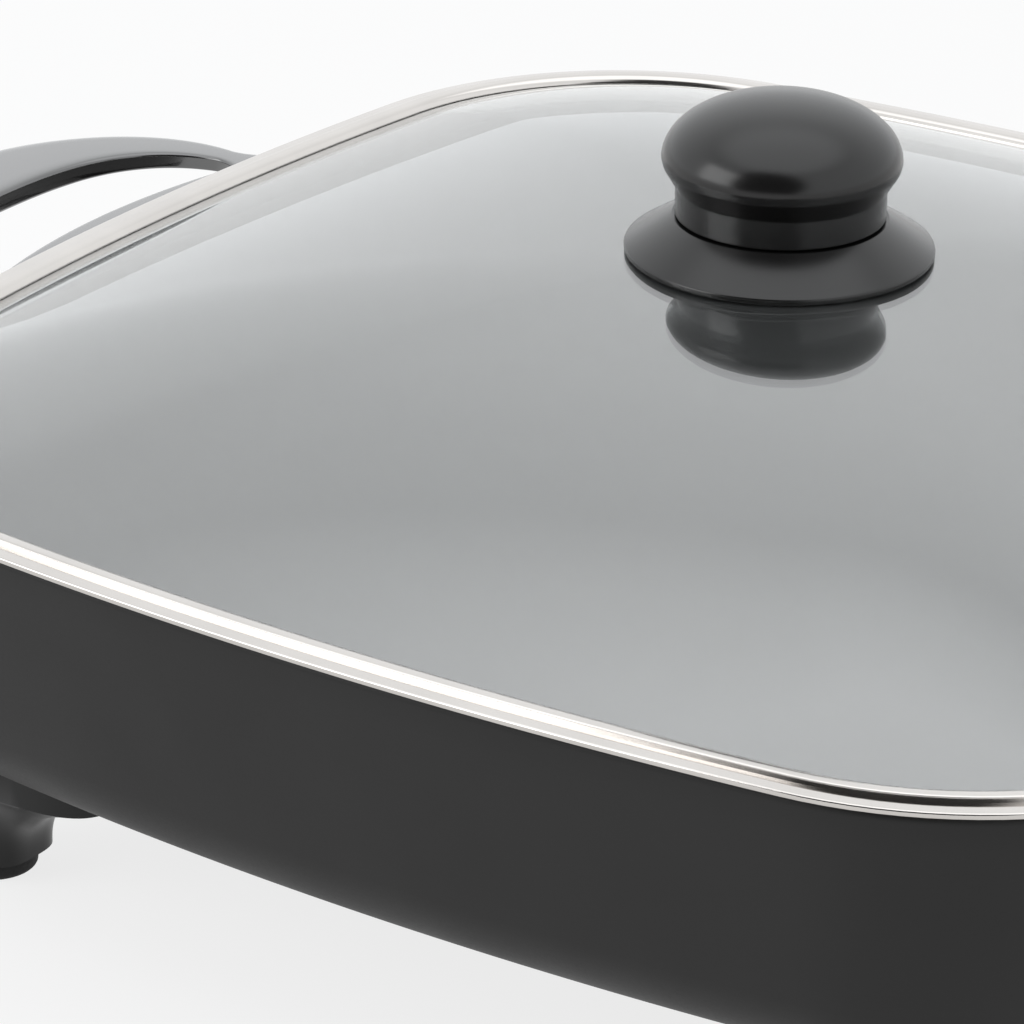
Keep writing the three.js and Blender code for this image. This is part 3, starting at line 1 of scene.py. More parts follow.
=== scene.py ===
"""Looks of a nearly square electric skillet with a domed glass lid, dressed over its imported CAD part.

Shapes are worked out in millimetres, with the middle of the lid over x = 0 and the floor at z = 0.
build_piece() puts them into the part's own frame in metres.
"""

import logging
import math
from dataclasses import dataclass
from enum import Enum
from typing import Iterable, Sequence

import bmesh
import bpy
import numpy as np
from mathutils import Matrix, Vector


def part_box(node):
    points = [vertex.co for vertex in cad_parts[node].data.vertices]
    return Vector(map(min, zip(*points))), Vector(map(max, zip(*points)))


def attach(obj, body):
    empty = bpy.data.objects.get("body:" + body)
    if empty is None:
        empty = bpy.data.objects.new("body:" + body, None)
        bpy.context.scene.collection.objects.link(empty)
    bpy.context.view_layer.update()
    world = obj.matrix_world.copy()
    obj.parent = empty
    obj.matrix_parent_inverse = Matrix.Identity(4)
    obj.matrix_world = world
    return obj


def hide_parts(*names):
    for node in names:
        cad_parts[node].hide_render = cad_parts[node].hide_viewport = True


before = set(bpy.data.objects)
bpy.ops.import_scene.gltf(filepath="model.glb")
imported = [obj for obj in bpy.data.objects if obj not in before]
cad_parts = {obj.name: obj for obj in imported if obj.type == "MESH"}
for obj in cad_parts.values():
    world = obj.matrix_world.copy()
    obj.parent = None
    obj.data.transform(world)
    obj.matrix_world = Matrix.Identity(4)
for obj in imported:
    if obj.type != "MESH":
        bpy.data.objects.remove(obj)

log = logging.getLogger("skillet")

MM = 0.001
GAP = 0.3
CREASE = 40
LEG_SHARE = 0.48
MERGE_DISTANCE, COLLAPSE_DISTANCE = 2e-6, 1e-7
Shell = tuple[np.ndarray, np.ndarray]


def node_span(node: str) -> tuple[np.ndarray, np.ndarray]:
    """Lowest and highest corner of a CAD node, in millimetres of the part's frame."""
    low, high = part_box(node)
    return np.array(low) / MM, np.array(high) / MM


BAND_LOW, BAND_HIGH = node_span("lid_rim_band")
MIDDLE_X = (BAND_LOW[0] + BAND_HIGH[0]) / 2


def node_middle(node: str) -> tuple[float, float]:
    """Middle of a CAD node seen from above, measured from the lid's middle."""
    low, high = node_span(node)
    return (low[0] + high[0]) / 2 - MIDDLE_X, (low[1] + high[1]) / 2


# Grids and shells


def joined(*parts: np.ndarray) -> np.ndarray:
    """Points from their coordinates, each spread to the shape that they share."""
    return np.stack(np.broadcast_arrays(*parts), axis=-1)


def raised(flat: np.ndarray, height: np.ndarray) -> np.ndarray:
    """Points of a plan, each put at its height."""
    return joined(flat[..., 0], flat[..., 1], height)


def full_turn(steps: int) -> np.ndarray:
    """Angles evenly round the full circle, without the last one."""
    return np.arange(steps) * 2 * math.pi / steps


def grid_shell(points: np.ndarray, wrap_rows: bool = False) -> Shell:
    """Quads over a grid whose columns run full circle.

    Face (i, j) joins points (i, j), (i, j + 1), (i + 1, j + 1) and (i + 1, j), with j taken modulo the columns.

    Args:
        points: Grid of points, rows by columns by three.
        wrap_rows: True where the last row joins the first one again.

    Returns:
        Vertices and quads.
    """
    rows, columns = points.shape[:2]
    index = np.arange(rows * columns).reshape(rows, columns)
    right = np.roll(index, -1, axis=1)
    quads = joined(index, right, np.roll(right, -1, axis=0), np.roll(index, -1, axis=0))
    kept = quads if wrap_rows else quads[:-1]
    return points.reshape(-1, 3), kept.reshape(-1, 4)


def capped(points: np.ndarray) -> Shell:
    """Shell of a grid whose two ends are closed by a row that shrinks to the end row's middle.

    Args:
        points: Grid of points, rows by columns by three.

    Returns:
        The closed shell.
    """
    first = np.broadcast_to(points[0].mean(axis=0), points[0].shape)
    last = np.broadcast_to(points[-1].mean(axis=0), points[-1].shape)
    return grid_shell(np.concatenate([first[None], points, last[None]]))


def rounded(
    corners: Sequence[Sequence[float]], radii: Sequence[float], closed: bool = False, steps: int = 5
) -> np.ndarray:
    """Polyline whose corners are arcs.

    With legs u and v of unit length from a corner and half the angle between them h, the arc of radius r
    touches the legs r / tan(h) away from the corner and has its centre r / sin(h) away, between the legs.
    Its points turn evenly about that centre. A radius is cut down where it would use more than LEG_SHARE of a leg.

    Args:
        corners: Corner points, two numbers each.
        radii: Radius at each corner; the two ends of an open line stay sharp.
        closed: True where the last corner joins the first.
        steps: Steps of each arc.

    Returns:
        Points of the line, one row each.
    """
    corner = np.asarray(corners, float)
    before, after = np.roll(corner, 1, axis=0) - corner, np.roll(corner, -1, axis=0) - corner
    long_before, long_after = np.linalg.norm(before, axis=1), np.linalg.norm(after, axis=1)
    u, v = before / long_before[:, None], after / long_after[:, None]
    half = np.arccos(np.clip((u * v).sum(axis=1), -1, 1)) / 2
    half = np.clip(half, 1e-3, math.pi / 2 - 1e-3)
    reach = np.minimum(np.asarray(radii, float) / np.tan(half), LEG_SHARE * np.minimum(long_before, long_after))
    radius = reach * np.tan(half)
    middle = u + v
    middle /= np.maximum(np.linalg.norm(middle, axis=1), 1e-9)[:, None]
    centre = corner + middle * (radius / np.sin(half))[:, None]
    start, end = corner + u * reach[:, None] - centre, corner + v * reach[:, None] - centre
    turn = (math.pi - 2 * half)[:, None, None]
    share = np.linspace(0, 1, steps + 1)[None, :, None]
    arc = (np.sin((1 - share) * turn) * start[:, None] + np.sin(share * turn) * end[:, None]) / np.sin(turn)
    line = centre[:, None] + arc
    if not closed:
        line[0], line[-1] = corner[0], corner[-1]
    return line.reshape(-1, 2)


def smoothstep(value: np.ndarray) -> np.ndarray:
    """0 below 0, 1 above 1 and 3 v^2 - 2 v^3 between."""
    held = np.clip(value, 0, 1)
    return held * held * (3 - 2 * held)


def signed_power(value: np.ndarray, power: float) -> np.ndarray:
    """sgn(v) |v|^power."""
    return np.sign(value) * np.abs(value) ** power


def superellipse(half_width: float, half_height: float, power: float, steps: int) -> np.ndarray:
    """Points (a sgn(cos t) |cos t|^(2/p), b sgn(sin t) |sin t|^(2/p)) round the full turn of t.

    Args:
        half_width: Half width a.
        half_height: Half height b.
        power: Power p; 2 gives an ellipse.
        steps: Number of points.

    Returns:
        Points, one row each.
    """
    angle = full_turn(steps)
    across, up = signed_power(np.cos(angle), 2 / power), signed_power(np.sin(angle), 2 / power)
    return joined(half_width * across, half_height * up)


def rod(radius: float, low: float, high: float) -> list[tuple[float, float]]:
    """Profile of a plain rod."""
    return [(0, low), (radius, low), (radius, high), (0, high)]


def turned(profile: np.ndarray, steps: int, centre: Sequence[float] = (0, 0)) -> np.ndarray:
    """Grid of a profile (radius, height) turned about the vertical line through the centre.

    Args:
        profile: Rows of radius and height.
        steps: Points round the turn.
        centre: Where the line stands, seen from above.

    Returns:
        Points, profile by steps by three.
    """
    angle, profile = full_turn(steps), np.asarray(profile, float)
    x = centre[0] + profile[:, :1] * np.cos(angle)
    y = centre[1] + profile[:, :1] * np.sin(angle)
    return joined(x, y, profile[:, 1:])


def turned_along_x(profile: np.ndarray, steps: int, y: float, z: float) -> np.ndarray:
    """Grid of a profile (radius, x) turned about a line along X at the given y and z."""
    upright = turned(profile, steps)
    return joined(upright[..., 2], upright[..., 0] + y, upright[..., 1] + z)


def lathe(
    corners: Sequence[Sequence[float]],
    radii: Sequence[float],
    steps: int,
    centre: Sequence[float] = (0, 0),
    closed: bool = False,
) -> Shell:
    """Shell of a profile (radius, height) with rounded corners, turned about an upright line."""
    return grid_shell(turned(rounded(corners, radii, closed), steps, centre), wrap_rows=closed)


def swept(line: np.ndarray, sections: np.ndarray) -> np.ndarray:
    """Grid of sections carried along a level line, each square to the line's direction at its point.

    Args:
        line: Points of the line, seen from above.
        sections: Offsets to the left and heights: one section, or one for each point of the line.

    Returns:
        Points, line by section by three.
    """
    ahead = np.gradient(line, axis=0)
    ahead /= np.linalg.norm(ahead, axis=1)[:, None]
    left = joined(-ahead[:, 1], ahead[:, 0])
    return raised(line[:, None] + left[:, None] * sections[..., :1], sections[..., 1])


def put_in_scene(name: str, data: bpy.types.ID) -> bpy.types.Object:
    """New object with its data, linked to the scene.

    Args:
        name: Name of the object.
        data: Its mesh, camera or lamp.

    Returns:
        The object.
    """
    made = bpy.data.objects.new(name, data)
    bpy.context.scene.collection.objects.link(made)
    return made


def build_piece(
    name: str,
    shells: Iterable[Shell],
    finish: "Finish",
    body: str,
    replaces: Sequence[str],
    cutters: Sequence[Shell] = (),
) -> None:
    """Makes one mesh object from closed shells, puts it in the part's frame and dresses it.

    Args:
        name: Name of the object.
        shells: Closed shells in millimetres about the lid's middle.
        finish: What its surface is.
        body: CAD body that it moves with.
        replaces: CAD nodes that it stands for.
        cutters: Closed shells that are cut out of it.
    """
    piece = put_in_scene(name, shell_mesh(name, shells))
    if cutters:
        cut_out(piece, cutters)
    piece.data.shade_smooth()
    piece.data.set_sharp_from_angle(angle=math.radians(CREASE))
    piece.data.materials.clear()
    piece.data.materials.append(finish.material())
    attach(piece, body)
    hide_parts(*replaces)
    log.info("%s: %d faces on %s, stands for %s", name, len(piece.data.polygons), body, ", ".join(replaces))


def shell_mesh(name: str, shells: Iterable[Shell]) -> bpy.types.Mesh:
    """One mesh from shells: doubles merged, so that poles and seams close, and normals turned outward.

    Args:
        name: Name of the mesh.
        shells: Shells in millimetres about the lid's middle.

    Returns:
        The mesh, in metres of the part's frame.
    """
    points, faces, offset = [], [], 0
    for vertices, quads in shells:
        points.append(vertices)
        faces.append(quads + offset)
        offset += len(vertices)
    placed = (np.concatenate(points) + [MIDDLE_X, 0, 0]) * MM
    mesh = bpy.data.meshes.new(name)
    mesh.from_pydata(placed.tolist(), [], np.concatenate(faces).tolist())
    work = bmesh.new()
    work.from_mesh(mesh)
    bmesh.ops.remove_doubles(work, verts=work.verts, dist=MERGE_DISTANCE)
    bmesh.ops.dissolve_degenerate(work, edges=work.edges, dist=COLLAPSE_DISTANCE)
    bmesh.ops.recalc_face_normals(work, faces=work.faces)
    work.to_mesh(mesh)
    work.free()
    return mesh


def cut_out(piece: bpy.types.Object, cutters: Sequence[Shell]) -> None:
    """Cuts each shell out of the piece with an exact Boolean and keeps the result as its mesh.

    Args:
        piece: Object that is cut.
        cutters: Closed shells that are cut out of it.
    """
    name = f"{piece.name}_cutter"
    tool = put_in_scene(name, shell_mesh(name, cutters))
    step = piece.modifiers.new("Cut", "BOOLEAN")
    step.operation, step.solver, step.object, step.use_self = "DIFFERENCE", "EXACT", tool, True
    graph = bpy.context.evaluated_depsgraph_get()
    result = bpy.data.meshes.new_from_object(piece.evaluated_get(graph))
    piece.modifiers.clear()
    piece.data = result
    bpy.data.objects.remove(tool)


# Finishes


class Grain(Enum):
    """What the surface shows close up."""

    SPRAYED = "sprayed coat"
    MOULDED = "moulded"
    CAST = "cast"
    BRUSHED = "brushed"
    SMOOTH = "smooth"


@dataclass(frozen=True)
class GrainSize:
    """Sizes of a grain: fine and broad pattern in millimetres, depth of its bump and stretch along Z."""

    fine: float
    broad: float
    depth: float
    stretch: float = 1


GRAINS = {
    Grain.SPRAYED: GrainSize(0.6, 30, 0.012),
    Grain.MOULDED: GrainSize(0.5, 24, 0.004),
    Grain.CAST: GrainSize(0.8, 18, 0.05),
    Grain.BRUSHED: GrainSize(0.3, 20, 0.003, 14),
    Grain.SMOOTH: GrainSize(60, 90, 0),
}


TONE_SPAN = (0.35, 0.65)
FINE_SHARE = 0.35
COAT_ROUGHNESS = 0.03
RANGE_ENDS = ("From Min", "From Max", "To Min", "To Max")


def add_node(
    tree: bpy.types.NodeTree, kind: str, inputs: dict[str | int, object], **settings: object
) -> bpy.types.Node:
    """New node with its settings and inputs.

    Args:
        tree: Tree that it goes into.
        kind: Type of the node.
        inputs: What each input gets, by its name or number: a value, or the socket that is linked to it.
        settings: Properties of the node, set before its inputs.

    Returns:
        The node.
    """
    node = tree.nodes.new(kind)
    for name, setting in settings.items():
        setattr(node, name, setting)
    for key, given in inputs.items():
        if isinstance(given, bpy.types.NodeSocket):
            tree.links.new(given, node.inputs[key])
        else:
            node.inputs[key].default_value = given
    return node


def grain_group() -> bpy.types.NodeTree:
    """Shared group: fine noise for the bump, and fine and broad noise mixed for the tone.

    Returns:
        The node group, with inputs Vector, Fine, Broad and Stretch and outputs Tone and Height.
    """
    name = "Surface grain"
    if name in bpy.data.node_groups:
        return bpy.data.node_groups[name]
    tree = bpy.data.node_groups.new(name, "ShaderNodeTree")
    tree.interface.new_socket("Vector", in_out="INPUT", socket_type="NodeSocketVector")
    for label in ("Fine", "Broad", "Stretch"):
        tree.interface.new_socket(label, in_out="INPUT", socket_type="NodeSocketFloat")
    for label in ("Tone", "Height"):
        tree.interface.new_socket(label, in_out="OUTPUT", socket_type="NodeSocketFloat")
    given = add_node(tree, "NodeGroupInput", {}).outputs
    spread = add_node(tree, "ShaderNodeCombineXYZ", {"X": 1, "Y": 1, "Z": given["Stretch"]})
    scaled = add_node(
        tree, "ShaderNodeVectorMath", {0: given["Vector"], 1: spread.outputs["Vector"]}, operation="MULTIPLY"
    )
    fine = add_node(
        tree, "ShaderNodeTexNoise", {"Vector": scaled.outputs["Vector"], "Scale": given["Fine"], "Detail": 3}
    ).outputs["Fac"]
    broad = add_node(
        tree, "ShaderNodeTexNoise", {"Vector": given["Vector"], "Scale": given["Broad"], "Detail": 4}
    ).outputs["Fac"]
    rest = add_node(tree, "ShaderNodeMath", {0: broad, 1: 1 - FINE_SHARE}, operation="MULTIPLY")
    tone = add_node(
        tree, "ShaderNodeMath", {0: fine, 1: FINE_SHARE, 2: rest.outputs["Value"]}, operation="MULTIPLY_ADD"
    )
    add_node(tree, "NodeGroupOutput", {"Tone": tone.outputs["Value"], "Height": fine})
    return tree


@dataclass(frozen=True)
class Finish:
    """A surface: the two shades and two roughnesses between which it wanders, its grain and how it takes light."""

    name: str
    slot: str
    dark: tuple[float, float, float]
    light: tuple[float, float, float]
    gloss: tuple[float, float]
    grain: Grain
    metal: float = 0
    passing: float = 0
    index: float = 1.5
    specular: float = 0.5
    coat: float = 0

    def material(self) -> bpy.types.Material:
        """The material of this finish, made once and shared by every piece that has it.

        Returns:
            The material.
        """
        if self.name in bpy.data.materials:
            return bpy.data.materials[self.name]
        made = bpy.data.materials.new(self.name)
        made.use_nodes = True
        tree = made.node_tree
        shader = tree.nodes["Principled BSDF"]
        constants = {
            "Metallic": self.metal, "IOR": self.index, "Specular IOR Level": self.specular,
            "Transmission Weight": self.passing, "Coat Weight": self.coat, "Coat Roughness": COAT_ROUGHNESS,
        }
        for label, value in constants.items():
            shader.inputs[label].default_value = value
        size = GRAINS[self.grain]
        place = add_node(tree, "ShaderNodeTexCoord", {})
        grain = add_node(tree, "ShaderNodeGroup", {
            "Vector": place.outputs["Object"], "Fine": 1 / (size.fine * MM), "Broad": 1 / (size.broad * MM),
            "Stretch": size.stretch,
        }, node_tree=grain_group())
        self.tint(tree, grain.outputs["Tone"], shader)
        if size.depth:
            bump = add_node(tree, "ShaderNodeBump", {
                "Strength": 1, "Distance": size.depth * MM, "Height": grain.outputs["Height"],
            })
            tree.links.new(bump.outputs["Normal"], shader.inputs["Normal"])
        return made

    def tint(self, tree: bpy.types.NodeTree, tone: bpy.types.NodeSocket, shader: bpy.types.Node) -> None:
        """Lets the grain's tone move the colour between the two shades and the roughness between its two ends.

        Args:
            tree: The material's tree.
            tone: The grain's tone.
            shader: The material's shader.
        """
        ramp = add_node(tree, "ShaderNodeValToRGB", {"Fac": tone})
        for stop, place, shade in zip(ramp.color_ramp.elements, TONE_SPAN, (self.dark, self.light)):
            stop.position, stop.color = place, (*shade, 1)
        tree.links.new(ramp.outputs["Color"], shader.inputs["Base Color"])
        if self.gloss[0] == self.gloss[1]:
            shader.inputs["Roughness"].default_value = self.gloss[0]
            return
        ends = dict(zip(RANGE_ENDS, (*TONE_SPAN, *self.gloss)))
        gloss = add_node(tree, "ShaderNodeMapRange", {"Value": tone, **ends})
        tree.links.new(gloss.outputs["Result"], shader.inputs["Roughness"])


def grey(value: float, warm: float = 0) -> tuple[float, float, float]:
    """A grey of linear value, a little warmer or cooler by a share."""
    return (value * (1 + warm), value, value * (1 - warm))


NONSTICK = Finish(
    "charcoal nonstick", "nonstick", grey(0.011, 0.02), grey(0.016, 0.02), (0.5, 0.62), Grain.SPRAYED, specular=0.34
)
PHENOLIC = Finish(
    "glossy phenolic", "phenolic", grey(0.006), grey(0.009), (0.12, 0.2), Grain.MOULDED, index=2, coat=1
)
SATIN_PHENOLIC = Finish(
    "satin phenolic", "satin_phenolic", grey(0.006, 0.02), grey(0.009, 0.02), (0.2, 0.26), Grain.MOULDED
)
LEG_PHENOLIC = Finish(
    "leg phenolic", "phenolic", grey(0.006), grey(0.009), (0.28, 0.36), Grain.MOULDED, specular=0.35
)
GLASS = Finish(
    "tempered glass", "glass", (0.9, 0.94, 0.94), (0.93, 0.96, 0.96), (0, 0), Grain.SMOOTH, passing=0.96, index=2.35
)
POLISHED_STEEL = Finish(
    "polished steel", "polished_steel", grey(0.54, 0.045), grey(0.59, 0.045), (0.09, 0.13), Grain.BRUSHED, metal=1
)
PLAIN_STEEL = Finish("plain steel", "plain_steel", grey(0.42), grey(0.52), (0.28, 0.4), Grain.BRUSHED, metal=1)
SHEATH = Finish(
    "element sheath", "element_sheath", grey(0.13, 0.05), grey(0.19, 0.05), (0.4, 0.55), Grain.CAST, metal=1
)
BRASS = Finish("plain brass", "brass", (0.5, 0.31, 0.07), (0.62, 0.4, 0.1), (0.25, 0.35), Grain.BRUSHED, metal=1)
CERAMIC = Finish("unglazed ceramic", "ceramic", (0.7, 0.66, 0.57), (0.8, 0.76, 0.68), (0.55, 0.7), Grain.CAST)
RUBBER = Finish("black rubber", "rubber", grey(0.011), grey(0.017), (0.7, 0.85), Grain.SPRAYED)
SILICONE = Finish("grey silicone", "silicone", grey(0.24), grey(0.3), (0.5, 0.6), Grain.SMOOTH)
HOUSING = Finish("heat-resistant plastic", "housing", grey(0.007), grey(0.011), (0.34, 0.44), Grain.MOULDED)
AMBER = Finish(
    "amber plastic", "amber", (0.6, 0.07, 0.01), (0.7, 0.1, 0.02), (0.05, 0.1), Grain.SMOOTH, passing=0.6
)
LAMP_GLASS = Finish(
    "lamp glass", "lamp_glass", (0.9, 0.8, 0.7), (0.95, 0.85, 0.75), (0, 0.05), Grain.SMOOTH, passing=1
)

CAD_FINISHES = {
    PLAIN_STEEL: (
        "terminal_pin_front", "terminal_pin_rear", "probe_guide", "terminal_guard", "sensing_rod", "dial_shaft",
        "control_screw_1", "control_screw_2", "control_screw_3",
    ),
    BRASS: ("socket_front", "socket_rear", "contact_blade", "fixed_contact"),
    CERAMIC: ("terminal_block", "terminal_bush_front", "terminal_bush_rear"),
    LAMP_GLASS: ("indicator_lamp",),
}


def dress_cad_nodes() -> None:
    """Gives every CAD node that stays on show the material of its finish."""
    for finish, names in CAD_FINISHES.items():
        for name in names:
            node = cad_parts[name]
            node.data.materials.clear()
            node.data.materials.append(finish.material())
            log.info("%s keeps its CAD shape in %s", name, finish.name)


# Outline


@dataclass(frozen=True)
class Outline:
    """Nearly square outline that lid and pan share: four bowed sides joined by corner arcs."""

    length: float = 310
    width: float = 300
    corner: float = 68
    bow: float = 16
    side_steps: int = 14
    corner_steps: int = 22

    def arcs(self) -> list[tuple[np.ndarray, float, float, float, int]]:
        """Centre, radius, first and last angle and steps of the three arcs of the first quarter.

        A side of half length c that bows by b has the radius (c^2 + b^2) / 2b. The corner arc touches both side
        arcs from inside, so its centre is where circles of their radii less the corner's meet.

        Returns:
            The short side's half, the corner and the long side's half.
        """
        half_length, half_width = self.length / 2, self.width / 2
        long_radius = (half_length**2 + self.bow**2) / (2 * self.bow)
        short_radius = (half_width**2 + self.bow**2) / (2 * self.bow)
        long_centre = np.array([0, half_width - long_radius])
        short_centre = np.array([half_length - short_radius, 0])
        across = short_centre - long_centre
        distance = np.linalg.norm(across)
        first, second = long_radius - self.corner, short_radius - self.corner
        along = (first**2 - second**2 + distance**2) / (2 * distance)
        aside = math.sqrt(first**2 - along**2)
        unit = across / distance
        corner_centre = long_centre + unit * along + np.array([unit[1], -unit[0]]) * aside
        leave = math.atan2(*(corner_centre - short_centre)[::-1])
        arrive = math.atan2(*(corner_centre - long_centre)[::-1])
        return [
            (short_centre, short_radius, 0, leave, self.side_steps),
            (corner_centre, self.corner, leave, arrive, self.corner_steps),
            (long_centre, long_radius, arrive, math.pi / 2, self.side_steps),
        ]

    def rings(self, insets: np.ndarray, heights: np.ndarray) -> np.ndarray:
        """Grid of rings, each the outline moved inward by its inset, at its height.

        Args:
            insets: Inset of each ring.
            heights: Height of each ring.

        Returns:
            Points, rings by columns by three.
        """
        inset = np.asarray(insets, float)[:, None]
        parts = []
        for centre, radius, start, end, steps in self.arcs():
            angle = np.linspace(start, end, steps + 1)
            reach = radius - inset
            parts.append(joined(centre[0] + reach * np.cos(angle), centre[1] + reach * np.sin(angle)))
        quarter = np.concatenate([parts[0][:, :-1], parts[1][:, :-1], parts[2]], axis=1)
        turns = [quarter, (quarter * [-1, 1])[:, ::-1], quarter * [-1, -1], (quarter * [1, -1])[:, ::-1]]
        flat = np.concatenate([part[:, :-1] for part in turns], axis=1)
        return raised(flat, np.asarray(heights, float)[:, None])

    def short_side(self, inset: np.ndarray, across: np.ndarray) -> np.ndarray:
        """How far out the short side lies at a distance from its middle."""
        centre, radius = self.arcs()[0][:2]
        return centre[0] + np.sqrt((radius - inset) ** 2 - across**2)


OUTLINE = Outline()


# Pan

CORNERS = ("left_front", "left_rear", "right_front", "right_rear")
FEET = [f"foot_pad_{corner}" for corner in CORNERS]
HANDLE_SCREWS = [f"handle_screw_{side}_{number}" for side in ("left", "right") for number in (1, 2)]


@dataclass
class Pan:
    """Die-cast pan with the ridge, well and bosses under it, and the element in the ridge."""

    base_height: float = 30
    depth: float = 58
    draft_run: float = 12
    overhang: float = 1.6
    wall: float = 2.8
    floor: float = 4.6
    outer_bend: float = 20
    inner_bend: float = 17
    element_radius: float = 4
    element_drop: float = 2
    loop_length: float = 172.23
    loop_width: float = 164.23
    loop_corner: float = 42
    turn: float = 16
    tail: float = 6
    pin_spacing: float = 30
    ridge_wall: float = 3
    ridge_foot: float = 1.6
    boss_radius: float = 4.6
    boss_height: float = 4
    boss_flare: float = 1.2
    well_radius: float = 7.8
    well_length: float = 58
    well_step: float = 3.2

    @property
    def rim(self) -> float:
        """Height of the rim."""
        return self.base_height + self.depth

    @property
    def draft(self) -> float:
        """Lean of the wall from upright, in radians."""
        return math.atan(self.draft_run / self.depth)

    @property
    def element_height(self) -> float:
        """Height of the element's axis."""
        return self.base_height - self.element_drop - self.element_radius

    def wall_inset(self, height: np.ndarray) -> np.ndarray:
        """Inset of the outer wall at a height."""
        return self.overhang + self.draft_run - (height - self.base_height) * math.tan(self.draft)

    def bend(self, floor_height: float, wall_offset: float, radius: float, steps: int = 14) -> np.ndarray:
        """Arc of insets and heights from the floor to the wall, touching both.

        Args:
            floor_height: Height of the floor's face.
            wall_offset: How far inside the outer wall its face is.
            radius: Radius of the arc.
            steps: Steps of the arc.

        Returns:
            Rows of inset and height.
        """
        height = floor_height + radius
        inset = self.wall_inset(height) + wall_offset + radius / math.cos(self.draft)
        angle = np.linspace(1.5 * math.pi, math.pi + self.draft, steps + 1)
        return joined(inset + radius * np.cos(angle), height + radius * np.sin(angle))

    @property
    def base_edge(self) -> float:
        """Distance from the middle to where the flat base ends, along X."""
        return OUTLINE.length / 2 - self.bend(self.base_height, 0, self.outer_bend)[0, 0]

    def profile(self) -> np.ndarray:
        """Insets and heights: outer bend, outer wall, round rim, inner wall and inner bend.

        Returns:
            Rows of inset and height.
        """
        thick = self.wall / math.cos(self.draft)
        radius = self.wall / 2
        height = self.rim - radius
        inset = self.wall_inset(height) + thick / 2
        angle = np.linspace(math.pi + self.draft, self.draft, 13)
        lip = joined(inset + radius * np.cos(angle), height + radius * np.sin(angle))
        outer = self.bend(self.base_height, 0, self.outer_bend)
        inner = self.bend(self.base_height + self.floor, thick, self.inner_bend)[::-1]
        rise = np.linspace(outer[-1], lip[0], 8)[1:-1]
        fall = np.linspace(lip[-1], inner[0], 8)[1:-1]
        return np.concatenate([outer, rise, lip, fall, inner])

    def shell(self) -> Shell:
        """Profile carried round the outline; both floors are rings that shrink to the middle.

        Returns:
            The closed shell.
        """
        profile = self.profile()
        rings = OUTLINE.rings(profile[:, 0], profile[:, 1])
        share = np.linspace(0, 1, 9)[:, None, None]
        middle = rings[[0, -1]] * [0, 0, 1]
        below = middle[0] + (rings[0] - middle[0]) * share
        above = middle[1] + (rings[-1] - middle[1]) * share[::-1]
        return grid_shell(np.concatenate([below[:-1], rings, above[1:]]))

    def route(self, steps: int = 150) -> np.ndarray:
        """The element's route from above: rounded corners between the tails, the inward turns and the loop.

        Args:
            steps: Number of points, evenly spaced.

        Returns:
            Points seen from above.
        """
        length, width, lead = self.loop_length / 2, self.loop_width / 2, self.pin_spacing / 2
        end = self.base_edge + self.tail
        corners = [
            (end, lead), (length, lead), (length, width), (-length, width),
            (-length, -width), (length, -width), (length, -lead), (end, -lead),
        ]
        line = rounded(corners, [0, self.turn, *[self.loop_corner] * 4, self.turn, 0], steps=12)
        far = np.concatenate([[0], np.cumsum(np.linalg.norm(np.diff(line, axis=0), axis=1))])
        keep = np.concatenate([[True], np.diff(far) > 1e-6])
        even = np.linspace(0, far[-1], steps)
        return joined(*(np.interp(even, far[keep], line[keep, axis]) for axis in (0, 1)))

    def ridge(self) -> Shell:
        """U-shaped rib round the element: a half circle below, straight sides up into the floor.

        Returns:
            The closed shell.
        """
        path = self.route(220)
        half = self.element_radius + self.ridge_wall
        foot = half + self.ridge_foot
        angle = np.linspace(math.pi, 2 * math.pi, 15)
        below, top = self.base_height, self.base_height + self.floor / 2
        section = np.concatenate([
            [[-foot, top], [-foot, below]],
            joined(half * np.cos(angle), self.element_height + half * np.sin(angle)),
            [[foot, below], [foot, top]],
        ])
        return capped(swept(path[path[:, 0] < self.base_edge - self.ridge_wall], section))

    def boss(self, place: Sequence[float]) -> Shell:
        """Short boss with a rounded foot that a screw goes into.

        Args:
            place: Middle of the boss, seen from above.

        Returns:
            The closed shell.
        """
        radius, base = self.boss_radius, self.base_height
        low, top = base - self.boss_height, base + 1
        corners = [(0, low), (radius, low), (radius, base), (radius + self.boss_flare, top), (0, top)]
        return lathe(corners, [0, 0.5, 1.5, 0.3, 0], 32, place)

    def well(self) -> Shell:
        """Boss along the middle of the ridge that the sensing rod slides into.

        Returns:
            The closed shell.
        """
        radius, high = self.well_radius, self.base_edge - self.well_step
        low = high - self.well_length
        profile = rounded(rod(radius, low, high), [0, 2, 0.4, 0])
        return grid_shell(turned_along_x(profile, 32, 0, self.element_height))

    def build(self) -> None:
        """Builds the pan with its bosses, and the element."""
        bosses = [self.boss(node_middle(node)) for node in FEET + HANDLE_SCREWS]
        build_piece("pan_shell", [self.shell(), self.ridge(), self.well(), *bosses], NONSTICK, "base", ["pan"])
        section = superellipse(self.element_radius, self.element_radius, 2, 28) + [0, self.element_height]
        element = capped(swept(self.route(), section))
        build_piece("element_rod", [element], SHEATH, "base", ["heating_element"])


PAN = Pan()


# Handles


